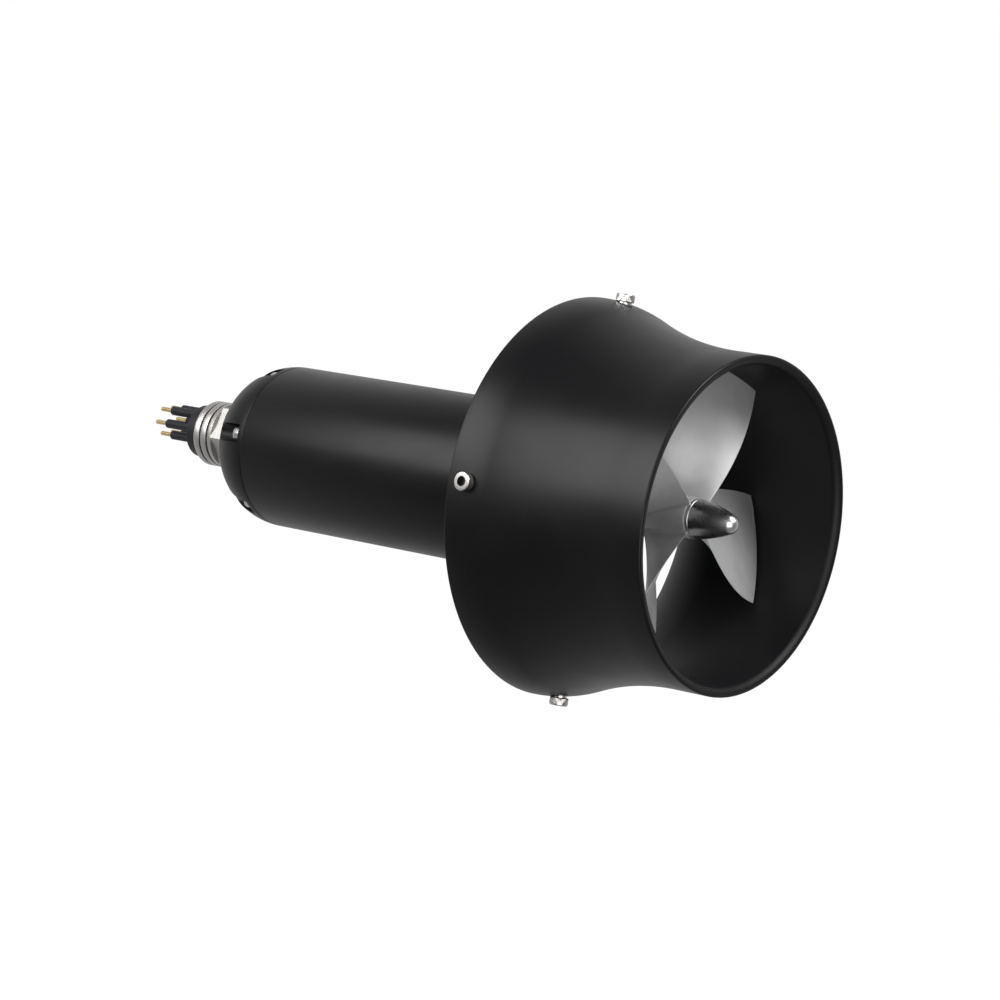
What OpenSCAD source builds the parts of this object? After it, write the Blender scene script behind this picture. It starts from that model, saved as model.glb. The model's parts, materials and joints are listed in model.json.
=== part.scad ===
// Ducted underwater thruster: a sealed brushless motor in a round housing,
// with a wet-mate connector at the rear and a four-blade propeller in a duct.
// Long axis is X, outlet towards +X, Z up, origin at the middle of the housing.

/* [Housing] */
// Outside diameter of the motor housing
body_d = 52; // [50:0.5:58]
// Length of the housing tube
housing_l = 110; // [106:1:130]
// Wall of the housing tube
housing_wall = 6; // [5.5:0.25:6.5]
// Edge chamfer at both ends of the tube
edge_chamfer = 0.3; // [0.1:0.1:0.6]
// Number of screws that hold each end cap
cap_screw_count = 6; // [4:1:8]
// Screw circle of the end caps, inward from the outside of the housing
cap_screw_inset = 3.5; // [3.2:0.1:3.8]
// Angle of the first rear cap screw
cap_screw_angle = 161.6; // [140:0.1:180]

/* [Rear cap] */
// Depth of the spigot that enters the tube
spigot_l = 8; // [6:0.5:10]
// Inset of the centre of the dome's rim curve from the outside of the housing
dome_inset = 4; // [3:0.5:5]
// Radius of the flatter curve round the connector, over the housing radius
dome_flat = 2; // [1.2:0.2:3]
// Floor of the screw notches behind the seam
notch_floor = 2.1; // [1.8:0.1:3]
// Half width of each screw notch
notch_r = 2.95; // [2.85:0.05:3.15]
// Radius of the cavity inside the dome
cap_cavity_r = 14; // [13:0.25:15]
// Depth of the cavity behind the seam
cap_cavity_l = 13; // [11:0.5:14]

/* [Connector] */
// Radius of the turned shell
shell_r = 10.65; // [10:0.05:11.2]
// Length of the shell in front of its seat
shell_l = 15.2; // [14:0.2:17.4]
// Length of the front land of the shell
shell_land = 3.9; // [3:0.1:4.5]
// Width across the flats of the wrench base
shell_flats = 19; // [18:0.25:20]
// Length of the wrench base
shell_hex_l = 7.2; // [6.2:0.2:8.2]
// Depth of the turned grooves
shell_groove = 0.7; // [0.3:0.1:1.2]
// Angle of one corner of the wrench base
shell_hex_angle = 173.5; // [150:0.5:200]
// Radius of the threaded shank through the cap
shank_r = 7; // [6.5:0.1:7.5]
// Radius of the rubber base
insert_r = 8.6; // [8.4:0.1:9.4]
// Length of the rubber base
insert_l = 7.5; // [4:0.5:8]
// Bevel round the face of the rubber base
insert_bevel = 2.4; // [0.5:0.1:2.4]
// Number of contact pins
pin_count = 6; // [3:1:7]
// Radius of the pin circle
pin_circle_r = 4.7; // [4.4:0.1:5]
// Height of the pin circle above the long axis
pin_circle_rise = 1.45; // [0:0.05:1.6]
// Angle of the first pin
pin_angle = 116.6; // [90:0.1:150]
// Radius of the rubber sleeve on each pin
sleeve_r = 1.5; // [1.2:0.1:1.7]
// Length of the sleeves
sleeve_l = 10; // [8:0.5:16]
// Radius of the contact pins
pin_r = 0.75; // [0.5:0.05:1]
// Bare length of the contact pins
pin_l = 5.1; // [3:0.1:8]

/* [Motor] */
// Length of the stator core
stator_l = 44; // [36:1:46]
// Number of stator teeth
tooth_count = 12; // [9:3:12]
// Width of a stator tooth
tooth_w = 3.2; // [2.6:0.1:3.6]
// Radius of the rotor over its magnets
rotor_r = 11.8; // [11:0.1:12]
// Number of rotor magnets
magnet_count = 8; // [4:2:10]
// Radial thickness of a magnet
magnet_t = 2.6; // [2:0.1:3]
// Air gap between rotor and stator
air_gap = 0.6; // [0.4:0.1:0.9]
// Radius of the shaft in its bearings
shaft_r = 4; // [3.8:0.05:4.2]

/* [Duct] */
// Inlet of the duct in front of the end of the housing tube
duct_inlet = 5.8; // [4:0.2:8]
// Length of the duct
duct_l = 63.7; // [60:0.1:70]
// Outside radius at the inlet
inlet_r = 60.9; // [60:0.1:63]
// Wall at the inlet edge
inlet_wall = 3.5; // [3:0.1:4.5]
// Outside radius at the outlet
outlet_r = 50.6; // [50:0.1:52]
// Wall round the propeller
outlet_wall = 3.2; // [3:0.1:4]
// Rounding of the inner edge at the outlet
lip_round = 2.4; // [1:0.1:2.6]
// Length of the curved inlet bore
bell_l = 22.2; // [20:0.2:25]
// Radius of the outward curve behind the inlet
flare_r = 32.6; // [28:0.2:38]
// Radius of the inward curve towards the outlet
waist_r = 102.9; // [90:0.5:112]

/* [Struts] */
// Number of struts and of duct screws
strut_count = 4; // [3:1:6]
// Angle of the first strut
strut_angle = 75.3; // [60:0.1:90]
// Distance of the strut line from the duct inlet
strut_station = 6.6; // [6.4:0.1:7]
// Chord of a strut
strut_chord = 11; // [9:0.5:11]
// Thickness of a strut
strut_t = 6; // [5.5:0.25:7]
// Depth of the spot-face under each duct screw
spot_depth = 0.7; // [0.5:0.1:1.2]
// Length of a duct screw under its washer
duct_screw_l = 16; // [14:0.5:20]

/* [Propeller] */
// Number of blades
blade_count = 4; // [2:1:5]
// Gap between the blade tips and the duct
tip_gap = 0.9; // [0.6:0.1:2]
// Pitch of the blades
prop_pitch = 101.7; // [85:0.5:115]
// Angle of the inlet-side tip corner of the first blade
blade_angle = -2; // [-45:1:45]
// Distance of that corner in front of the end of the housing tube
blade_station = 36.9; // [36.4:0.1:37.4]
// Angular width of the blade at the tip
tip_sweep = 42.5; // [30:0.5:46]
// Thickness of the blade at the hub
root_t = 4; // [2.4:0.1:4.6]
// Thickness of the blade at the tip
tip_t = 1; // [0.8:0.1:1.4]
// Thickness of the blade edges
edge_t = 0.6; // [0.4:0.1:0.8]
// Bend of the inlet edge towards the housing, at the hub
inlet_bend = 2; // [0:0.1:3]
// Radius of the hub
hub_r = 6.15; // [6:0.05:6.6]
// Length of the hub
hub_l = 20.15; // [19.8:0.05:20.6]
// Gap between fairing and hub
hub_gap = 1.3; // [0.8:0.1:1.6]
// Thickness of the washer under the nose cone
prop_washer_t = 1.35; // [1:0.05:2]
// Length of the nose cone
nose_l = 13.7; // [12.5:0.1:17]
// Radius of the long curve of the nose cone
nose_curve = 45; // [42:0.5:52]
// Radius of the cross hole in the nose cone
nose_hole_r = 1.1; // [0.8:0.1:1.3]

/* [Hidden] */
$fn = 64;

// Clearances: still fits, running fits and free gaps
fit = 0.03;
free_gap = 0.4;
eps = 0.02;

// Radii that follow from the driving sizes
body_r = body_d / 2;
tube_r = body_r - housing_wall;
cap_screw_r = body_r - cap_screw_inset;
flush_r = body_r - edge_chamfer;
stator_r = tube_r - fit;
stator_bore_r = rotor_r + air_gap;
inlet_bore_r = inlet_r - inlet_wall;
bore_r = outlet_r - outlet_wall;
prop_r = bore_r - tip_gap;
spot_r = inlet_r - flare_r + sqrt(flare_r * flare_r - strut_station * strut_station) - spot_depth;

// Standard metric screw M3: shank, head and washer
m3_r = 1.5;
m3_hole_r = 1.65;
m3_head_r = 2.75;
m3_head_h = 3;
m3_socket = 2.5;
m3_socket_l = 1.5;
cap_thread_l = 7;

// Knurled duct screws stand on narrow washers
duct_head_r = 2.84;
duct_head_h = 2.4;
duct_washer_r = 2.2;
duct_washer_t = 1;

// Ball bearing 8 x 22 x 7
bearing_r = 11;
bearing_l = 7;
bearing_land_in = 6.1;
bearing_land_out = 9.3;
ball_r = 2;
ball_circle_r = 7.5;
ball_count = 7;
race_r = 2.05;
cage_t = 1;
cage_l = 2.4;

// Stations along the axis, counted from the seam of the rear cap
seam_x = -housing_l / 2;
board_s = 13;
board_t = 1.6;
plate_s = 24;
plate_t = 9;
rib_s = plate_s + plate_t;
rib_l = 6;
rib_r = tube_r - 1.5;
stator_s = rib_s + rib_l;
stator_e = stator_s + stator_l;
coil_over = 4;
rear_bearing_s = rib_s - bearing_l;
front_plug_l = 12;
front_bearing_s = housing_l - 6;
flange_l = 6;
flange_e = housing_l + flange_l;
duct_s = housing_l + duct_inlet;
duct_e = duct_s + duct_l;
strut_s = duct_s + strut_station;
spider_e = strut_s + strut_chord / 2 + 0.1;
cone_s = strut_s + 1.6;
hub_s = blade_station + housing_l - inlet_bend - 3.7;
hub_e = hub_s + hub_l;
cone_e = hub_s - hub_gap;
cone_end_r = 9.5;
washer_e = hub_e + prop_washer_t;
nose_e = washer_e + nose_l;

// Rear cap: a rim curve that runs into a flatter curve about the axis
dome_rim_r = body_r - dome_inset;
dome_pole_r = body_r + dome_flat;
dome_s = sqrt(pow(dome_pole_r - dome_rim_r, 2) - dome_inset * dome_inset);
dome_meet_r = dome_inset * dome_pole_r / (dome_pole_r - dome_rim_r);

// Connector
shell_seat_r = shell_flats / sqrt(3) + 0.3;
shell_seat_s = dome_s - sqrt(dome_pole_r * dome_pole_r - shell_seat_r * shell_seat_r);
shell_e = shell_seat_s - shell_l;
shank_l = -cap_cavity_l + 6.2 - shell_seat_s;
insert_e = shell_e - insert_l;
sleeve_e = insert_e - sleeve_l;
pin_e = sleeve_e - pin_l;
core_r = shank_r - 1.4;
nut_t = 5;
nut_flats = 19;
wire_r = 0.7;
wire_circle_r = 3.4;

// O-rings sit in grooves of this depth and width
oring_r = 0.75;
oring_groove = 1.5;
oring_groove_l = 2;

// Front cap and seals
neck_r = 16.5;
nose_seat_r = 12.5;
nose_seat_e = spider_e + 6;
seal_r = 8;
seal_l = 5;
seal_gap = 0.4;
seal_s = nose_seat_e - 2 * seal_l - seal_gap;

// Shaft
collar_r = 5.6;
stud_r = 3;
stud_l = prop_washer_t + 7;
drive_pin_r = 1;
drive_pin_s = hub_s + 2.7;
drive_pin_angle = blade_angle + 47;

// Blades lie on a left-handed helix about the axis
helix = prop_pitch / 360;
blade_rows = 14;
blade_cols = 9;
blade_root_r = shaft_r + 1;
tip_s = blade_station + housing_l;

// Axis frame: child z runs along +X, child x along +Y and child y along +Z
module axial() {
    rotate([90, 0, 90])
        children();
}

// Axis frame with its zero at the seam of the rear cap
module from_seam() {
    translate([seam_x, 0, 0])
        axial()
            children();
}

// Solid of revolution from a profile of [radius, station] points
module turned(profile) {
    from_seam()
        rotate_extrude($fn = 96)
            polygon(profile);
}

// Plain ring between two radii and two stations
module ring(r_in, r_out, s0, s1) {
    turned([[r_in, s0], [r_out, s0], [r_out, s1], [r_in, s1]]);
}

// Rod along the axis from one station to another
module rod(r, s0, s1) {
    from_seam()
        translate([0, 0, s0])
            cylinder(r = r, h = s1 - s0);
}

// Copies spread evenly round the axis frame at a radius
module spread(count, r, first = 0) {
    for (i = [0:count - 1])
        rotate(first + i * 360 / count)
            translate([r, 0, 0])
                children();
}

// Turns a child made along z so that it points outward at a station
module outward(count, first, s) {
    from_seam()
        translate([0, 0, s])
            spread(count, 0, first)
                rotate([0, 90, 0])
                    children();
}

// Hexagonal prism along z with the given width across its flats
module hex(flats, h) {
    cylinder(r = flats / sqrt(3), h = h, $fn = 6);
}

// Housing

module motor_housing() {
    c = edge_chamfer;
    color("#26272b")
        difference() {
            turned([
                [tube_r, 0], [body_r - c, 0], [body_r, c],
                [body_r, housing_l - c], [body_r - c, housing_l], [tube_r, housing_l],
                [tube_r, stator_s], [rib_r, stator_s], [rib_r, rib_s], [tube_r, rib_s]
            ]);
            from_seam() {
                translate([0, 0, -1])
                    spread(cap_screw_count, cap_screw_r, cap_screw_angle)
                        cylinder(r = m3_r + eps, h = cap_thread_l + 2);
                translate([0, 0, housing_l - cap_thread_l - 1])
                    spread(cap_screw_count, cap_screw_r, cap_screw_angle)
                        cylinder(r = m3_r + eps, h = cap_thread_l + 2);
            }
            ring(tube_r - 1, tube_r + 0.9, plate_s - 1.2, plate_s);
        }
}

// Outline of the dome, flat where the connector sits
module dome_profile() {
    lap = 0.2;
    intersection() {
        translate([0, dome_s])
            circle(r = dome_pole_r, $fn = 180);
        translate([0, shell_seat_s])
            square([dome_meet_r, -shell_seat_s]);
    }
    intersection() {
        translate([dome_inset, 0])
            circle(r = dome_rim_r, $fn = 180);
        translate([dome_meet_r - lap, shell_seat_s])
            square([body_r, -shell_seat_s]);
    }
}

module rear_cap() {
    spigot_r = tube_r - fit;
    groove_s = spigot_l / 2 - oring_groove_l / 2;
    color("#2b2c30")
        difference() {
            union() {
                from_seam()
                    rotate_extrude($fn = 96)
                        dome_profile();
                rod(spigot_r, -0.5, spigot_l);
            }
            rod(cap_cavity_r, -cap_cavity_l, spigot_l + 1);
            rod(shank_r + fit, shell_seat_s - 1, -cap_cavity_l + 1);
            ring(tube_r - oring_groove, tube_r + 1, groove_s, groove_s + oring_groove_l);
            from_seam()
                spread(cap_screw_count, cap_screw_r, cap_screw_angle)
                    translate([0, 0, -body_r]) {
                        cylinder(r = notch_r, h = body_r - notch_floor);
                        translate([0, -notch_r, 0])
                            cube([body_r, 2 * notch_r, body_r - notch_floor]);
                        cylinder(r = m3_hole_r, h = body_r + 1);
                    }
        }
}

// O-ring of revolution that fills a groove below an outer radius
module groove_oring(r_outer, s) {
    from_seam()
        translate([0, 0, s])
            rotate_extrude($fn = 96)
                translate([r_outer - oring_groove / 2, 0])
                    circle(r = oring_r - eps, $fn = 24);
}

module rear_cap_oring() {
    color("#111113")
        groove_oring(tube_r, spigot_l / 2);
}

module cap_screws() {
    head_s = -notch_floor - m3_head_h;
    c = edge_chamfer;
    color("#cfd2d6")
        from_seam()
            spread(cap_screw_count, cap_screw_r, cap_screw_angle)
                difference() {
                    union() {
                        translate([0, 0, head_s])
                            cylinder(r1 = m3_head_r - c, r2 = m3_head_r, h = c);
                        translate([0, 0, head_s + c])
                            cylinder(r = m3_head_r, h = m3_head_h - c);
                        translate([0, 0, -notch_floor - 1])
                            cylinder(r = m3_r, h = notch_floor + cap_thread_l + 1);
                    }
                    translate([0, 0, head_s - 1])
                        hex(m3_socket, m3_socket_l + 1);
                }
}

// Connector

module connector_shell() {
    hex_e = shell_seat_s - shell_hex_l;
    groove_r = shell_r - shell_groove;
    groove_l = 0.8;
    hex_core_r = shell_flats / 2 - 0.1;
    color("#c9ccd0")
        difference() {
            union() {
                from_seam()
                    translate([0, 0, hex_e])
                        rotate(shell_hex_angle)
                            hex(shell_flats, shell_hex_l);
                turned([
                    [0, shell_seat_s], [0, shell_e], [shell_r - 0.6, shell_e], [shell_r, shell_e + 0.6],
                    [shell_r, shell_e + shell_land], [groove_r, shell_e + shell_land],
                    [groove_r, shell_e + shell_land + groove_l],
                    [shell_r, shell_e + shell_land + groove_l],
                    [shell_r, hex_e - groove_l], [groove_r, hex_e - groove_l], [groove_r, hex_e],
                    [hex_core_r, hex_e], [hex_core_r, shell_seat_s]
                ]);
                rod(shank_r, shell_seat_s - 1, shell_seat_s + shank_l);
            }
            rod(core_r + fit, shell_e - 1, shell_seat_s + shank_l + 1);
            ring(shank_r + 0.1, shank_r + oring_groove + 0.5, shell_seat_s - 1.2, shell_seat_s + 1);
        }
}

module connector_oring() {
    color("#111113")
        from_seam()
            translate([0, 0, shell_seat_s - 0.6])
                rotate_extrude($fn = 96)
                    translate([shank_r + 1.1, 0])
                        circle(r = 0.6 - eps, $fn = 24);
}

// Copies at the pin places, in the axis frame
module at_pins() {
    translate([0, pin_circle_rise, 0])
        spread(pin_count, pin_circle_r, pin_angle)
            children();
}

module connector_insert() {
    c = insert_bevel;
    color("#1d1e24")
        difference() {
            union() {
                turned([
                    [0, shell_e], [insert_r, shell_e], [insert_r, insert_e + c],
                    [insert_r - c, insert_e], [0, insert_e]
                ]);
                rod(core_r, shell_e - 1, shell_seat_s + shank_l);
                from_seam()
                    at_pins()
                        translate([0, 0, sleeve_e]) {
                            translate([0, 0, 0.5])
                                cylinder(r = sleeve_r, h = sleeve_l + c);
                            cylinder(r1 = sleeve_r - 0.4, r2 = sleeve_r, h = 0.5);
                        }
            }
            from_seam()
                at_pins()
                    translate([0, 0, sleeve_e - 1])
                        cylinder(r = pin_r + fit, h = sleeve_l + insert_l);
        }
}

module connector_pins() {
    color("#d9b24a")
        from_seam()
            at_pins()
                translate([0, 0, pin_e]) {
                    translate([0, 0, 0.3])
                        cylinder(r = pin_r, h = pin_l + sleeve_l + insert_l - 1.3);
                    cylinder(r1 = pin_r - 0.25, r2 = pin_r, h = 0.3);
                }
}

module connector_nut() {
    color("#b9bdc2")
        from_seam()
            translate([0, 0, -cap_cavity_l])
                difference() {
                    hex(nut_flats, nut_t);
                    translate([0, 0, -1])
                        cylinder(r = shank_r + fit, h = nut_t + 2);
                }
}

module lead_wires() {
    color("#b3262b")
        from_seam()
            spread(pin_count, wire_circle_r, pin_angle)
                translate([0, 0, shell_seat_s + shank_l])
                    cylinder(r = wire_r, h = board_s - shell_seat_s - shank_l);
}

// Controller

board_gap = 2.5;
standoff_inset = 6;
transistor_inset = 9;
capacitor_inset = 10;
board_r = tube_r - board_gap;
standoff_circle_r = tube_r - standoff_inset;
transistor_circle_r = tube_r - transistor_inset;
transistor_h = 2.3;
transistor_w = 4.4;
capacitor_r = 3;
capacitor_l = 7;
board_screw_r = 1;
board_screw_l = 3.5;
board_head_r = 1.9;
board_head_h = 1.6;
standoff_flats = 4;
standoff_angle = 20;
wire_angle = 80;
phase_circle_r = (tube_r + stator_bore_r) / 2 - 0.7;
phase_wire_r = 0.9;

module controller_board() {
    color("#1f5b3a")
        from_seam()
            translate([0, 0, board_s])
                difference() {
                    cylinder(r = board_r, h = board_t);
                    translate([0, 0, -1])
                        spread(3, standoff_circle_r, standoff_angle)
                            cylinder(r = board_screw_r + 0.3, h = board_t + 2);
                }
}

module power_transistors() {
    color("#17181a")
        from_seam()
            translate([0, 0, board_s - transistor_h])
                spread(6, transistor_circle_r, standoff_angle + 30)
                    translate([-transistor_w / 2, -transistor_w / 2, 0])
                        cube([transistor_w, transistor_w, transistor_h]);
}

module capacitors() {
    color("#3a3f57")
        from_seam()
            translate([0, 0, board_s + board_t])
                spread(3, tube_r - capacitor_inset, standoff_angle + 60)
                    cylinder(r = capacitor_r, h = capacitor_l);
}

module board_standoffs() {
    color("#c8a24c")
        from_seam()
            translate([0, 0, board_s + board_t])
                spread(3, standoff_circle_r, standoff_angle)
                    difference() {
                        hex(standoff_flats, plate_s - board_s - board_t);
                        translate([0, 0, -1])
                            cylinder(r = board_screw_r + eps, h = board_screw_l + 1.5);
                    }
}

module board_screws() {
    color("#c9ccd0")
        from_seam()
            translate([0, 0, board_s])
                spread(3, standoff_circle_r, standoff_angle) {
                    translate([0, 0, -board_head_h])
                        cylinder(r = board_head_r, h = board_head_h);
                    cylinder(r = board_screw_r, h = board_t + board_screw_l);
                }
}

module phase_wires() {
    color("#d8a018")
        from_seam()
            translate([0, 0, board_s + board_t])
                spread(3, phase_circle_r, wire_angle)
                    cylinder(r = phase_wire_r, h = stator_s - coil_over - board_s - board_t);
}

// Rear bearing plate

module rear_bearing_plate() {
    lip_r = bearing_land_out - 1;
    color("#a9adb3")
        difference() {
            ring(lip_r, tube_r - fit, plate_s, rib_s);
            rod(bearing_r + fit, rear_bearing_s, rib_s + 1);
            from_seam()
                translate([0, 0, plate_s - 1])
                    spread(3, phase_circle_r, wire_angle)
                        cylinder(r = phase_wire_r + 0.4, h = plate_t + 2);
        }
}

module plate_snap_ring() {
    color("#8d9196")
        difference() {
            ring(tube_r - 2, tube_r + 0.9 - fit, plate_s - 1.2 + eps, plate_s);
            from_seam()
                translate([0, -2, plate_s - 2])
                    cube([body_r, 4, 3]);
        }
}

// Ball bearings, each given by the station of its rear face

module outer_ring(s) {
    color("#bfc3c8")
        difference() {
            ring(bearing_land_out, bearing_r, s, s + bearing_l);
            race(s);
        }
}

module inner_ring(s) {
    color("#c8ccd1")
        difference() {
            ring(shaft_r + fit, bearing_land_in, s, s + bearing_l);
            race(s);
        }
}

module race(s) {
    from_seam()
        translate([0, 0, s + bearing_l / 2])
            rotate_extrude($fn = 96)
                translate([ball_circle_r, 0])
                    circle(r = race_r, $fn = 48);
}

module cage(s) {
    color("#b08a4a")
        difference() {
            ring(
                ball_circle_r - cage_t / 2, ball_circle_r + cage_t / 2,
                s + bearing_l / 2 - cage_l, s + bearing_l / 2 + cage_l
            );
            outward(ball_count, 0, s + bearing_l / 2)
                cylinder(r = ball_r + 0.05, h = bearing_r);
        }
}

module balls(s) {
    color("#dfe2e6")
        from_seam()
            translate([0, 0, s + bearing_l / 2])
                spread(ball_count, ball_circle_r)
                    sphere(r = ball_r, $fn = 48);
}

module rear_outer_ring() {
    outer_ring(rear_bearing_s);
}

module rear_inner_ring() {
    inner_ring(rear_bearing_s);
}

module rear_cage() {
    cage(rear_bearing_s);
}

module rear_balls() {
    balls(rear_bearing_s);
}

module front_outer_ring() {
    outer_ring(front_bearing_s);
}

module front_inner_ring() {
    inner_ring(front_bearing_s);
}

module front_cage() {
    cage(front_bearing_s);
}

module front_balls() {
    balls(front_bearing_s);
}

// Stator

yoke_r = tube_r - 3;
shoe_t = 1.2;

module stator_core() {
    color("#7d8187")
        from_seam()
            translate([0, 0, stator_s])
                linear_extrude(stator_l)
                    difference() {
                        union() {
                            difference() {
                                circle(r = stator_r, $fn = 96);
                                circle(r = yoke_r, $fn = 96);
                            }
                            intersection() {
                                circle(r = yoke_r + 1, $fn = 96);
                                spread(tooth_count, 0)
                                    translate([0, -tooth_w / 2])
                                        square([stator_r, tooth_w]);
                            }
                            intersection() {
                                circle(r = stator_bore_r + shoe_t, $fn = 96);
                                spread(tooth_count, 0)
                                    translate([0, -tooth_w / 2 - 0.8])
                                        square([stator_r, tooth_w + 1.6]);
                            }
                        }
                        circle(r = stator_bore_r, $fn = 96);
                    }
}

module stator_coils() {
    coil_in = stator_bore_r + shoe_t + 0.3;
    coil_h = yoke_r - coil_in - 0.1;
    coil_w = min(tooth_w + 2.2, 2 * coil_in * tan(180 / tooth_count) - 0.4);
    color("#b4652d")
        from_seam()
            spread(tooth_count, 0)
                difference() {
                    translate([coil_in, -coil_w / 2, stator_s - coil_over])
                        cube([coil_h - 0.2, coil_w, stator_l + 2 * coil_over]);
                    translate([coil_in - 1, -tooth_w / 2 - eps, stator_s - eps])
                        cube([coil_h + 2, tooth_w + 2 * eps, stator_l + 2 * eps]);
                }
}

// Turning parts

module shaft() {
    color("#c4c8cd")
        difference() {
            union() {
                turned([
                    [0, plate_s + 0.5], [shaft_r - 0.4, plate_s + 0.5], [shaft_r, plate_s + 0.9],
                    [shaft_r, stator_e], [collar_r, stator_e], [collar_r, front_bearing_s],
                    [shaft_r, front_bearing_s], [shaft_r, hub_e - 0.3], [stud_r, hub_e - 0.3],
                    [stud_r, hub_e + stud_l - 0.5], [stud_r - 0.5, hub_e + stud_l], [0, hub_e + stud_l]
                ]);
            }
            outward(1, drive_pin_angle, drive_pin_s)
                translate([0, 0, -shaft_r - 1])
                    cylinder(r = drive_pin_r + eps, h = 2 * shaft_r + 2);
        }
}

module rotor_core() {
    color("#8a8e94")
        ring(shaft_r + fit, rotor_r - magnet_t, stator_s, stator_e);
}

module rotor_magnets() {
    gap_w = 1.2;
    color("#4b4f55")
        difference() {
            ring(rotor_r - magnet_t + fit, rotor_r, stator_s + 1, stator_e - 1);
            from_seam()
                translate([0, -gap_w / 2, stator_s])
                    spread(magnet_count, 0)
                        cube([rotor_r + 1, gap_w, stator_l]);
        }
}

module rear_spacer() {
    color("#a9adb3")
        ring(shaft_r + fit, collar_r, rib_s, stator_s);
}

// Front cap

module front_cap() {
    plug_s = housing_l - front_plug_l;
    groove_s = housing_l - front_plug_l / 2 - oring_groove_l / 2;
    snap_s = front_bearing_s - 1.2;
    color("#2b2c30")
        difference() {
            turned([
                [shaft_r + free_gap, front_bearing_s + bearing_l],
                [bearing_r + fit, front_bearing_s + bearing_l],
                [bearing_r + fit, plug_s], [tube_r - fit, plug_s],
                [tube_r - fit, housing_l], [flush_r, housing_l],
                [flush_r, flange_e], [neck_r, flange_e],
                [neck_r, spider_e - 0.2], [nose_seat_r, spider_e - 0.2],
                [nose_seat_r, nose_seat_e], [seal_r + fit, nose_seat_e],
                [seal_r + fit, seal_s], [shaft_r + free_gap, seal_s]
            ]);
            ring(tube_r - oring_groove, tube_r + 1, groove_s, groove_s + oring_groove_l);
            ring(bearing_r - 1, bearing_r + 0.8, snap_s, front_bearing_s);
            from_seam()
                spread(cap_screw_count, cap_screw_r, cap_screw_angle) {
                    translate([0, 0, housing_l - 1])
                        cylinder(r = m3_hole_r, h = flange_l + 2);
                    translate([0, 0, flange_e - 3.2])
                        cylinder(r = m3_head_r + 0.2, h = 4);
                }
        }
}

module front_cap_oring() {
    color("#111113")
        groove_oring(tube_r, housing_l - front_plug_l / 2);
}

module front_cap_screws() {
    head_s = flange_e - 3.2;
    color("#c9ccd0")
        from_seam()
            spread(cap_screw_count, cap_screw_r, cap_screw_angle)
                difference() {
                    union() {
                        translate([0, 0, head_s])
                            cylinder(r = m3_head_r, h = 3);
                        translate([0, 0, housing_l - cap_thread_l])
                            cylinder(r = m3_r, h = cap_thread_l + flange_l - 3);
                    }
                    translate([0, 0, head_s + 1.5])
                        hex(2.5, 2);
                }
}

module bearing_snap_ring() {
    color("#8d9196")
        difference() {
            ring(
                bearing_land_out + 0.2, bearing_r + 0.8 - fit,
                front_bearing_s - 1.2 + eps, front_bearing_s
            );
            from_seam()
                translate([0, -1.5, front_bearing_s - 2])
                    cube([body_r, 3, 3]);
        }
}

module shaft_seals() {
    color("#151518")
        for (s = [seal_s, seal_s + seal_l + seal_gap])
            turned([
                [seal_r - 1.5, s], [seal_r, s], [seal_r, s + seal_l], [shaft_r + 0.05, s + seal_l],
                [shaft_r + 0.05, s + seal_l - 1.2], [shaft_r + 0.6, s + seal_l - 1.6],
                [seal_r - 1.5, s + seal_l - 1.6]
            ]);
}

// Struts and fairing

function cone_r(s) = flush_r - (s - cone_s) * (flush_r - cone_end_r) / (cone_e - cone_s);

// Space inside the duct, which the strut tips follow
module duct_bore(gap = 0) {
    bell_h = inlet_bore_r - bore_r;
    bell_r = (bell_l * bell_l + bell_h * bell_h) / (2 * bell_h);
    from_seam()
        rotate_extrude($fn = 96)
            difference() {
                translate([0, duct_s - 1])
                    square([inlet_bore_r + 4, bell_l + 1]);
                translate([bore_r + bell_r, duct_s + bell_l])
                    circle(r = bell_r + gap, $fn = 180);
            }
}

module strut_lens() {
    lens_r = (strut_chord * strut_chord + strut_t * strut_t) / (4 * strut_t);
    intersection() {
        translate([0, lens_r - strut_t / 2])
            circle(r = lens_r, $fn = 96);
        translate([0, strut_t / 2 - lens_r])
            circle(r = lens_r, $fn = 96);
    }
}

module strut_spider() {
    color("#2a2b2f")
        difference() {
            union() {
                turned([
                    [neck_r + fit, flange_e], [flush_r, flange_e], [flush_r, cone_s],
                    [cone_r(spider_e), spider_e], [neck_r + fit, spider_e]
                ]);
                intersection() {
                    outward(strut_count, strut_angle, strut_s)
                        translate([0, 0, neck_r + 2])
                            linear_extrude(inlet_bore_r - neck_r)
                                strut_lens();
                    duct_bore(fit);
                }
            }
            outward(strut_count, strut_angle, strut_s)
                translate([0, 0, spot_r - duct_screw_l - free_gap])
                    cylinder(r = m3_r + eps, h = duct_screw_l + 2 * free_gap);
        }
}

module fairing_cone() {
    color("#2b2c30")
        turned([
            [nose_seat_r + fit, spider_e], [cone_r(spider_e), spider_e],
            [cone_end_r + 0.6, cone_e - 0.7], [cone_end_r - 0.4, cone_e],
            [shaft_r + free_gap, cone_e], [shaft_r + free_gap, nose_seat_e],
            [nose_seat_r + fit, nose_seat_e]
        ]);
}

// Duct

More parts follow.
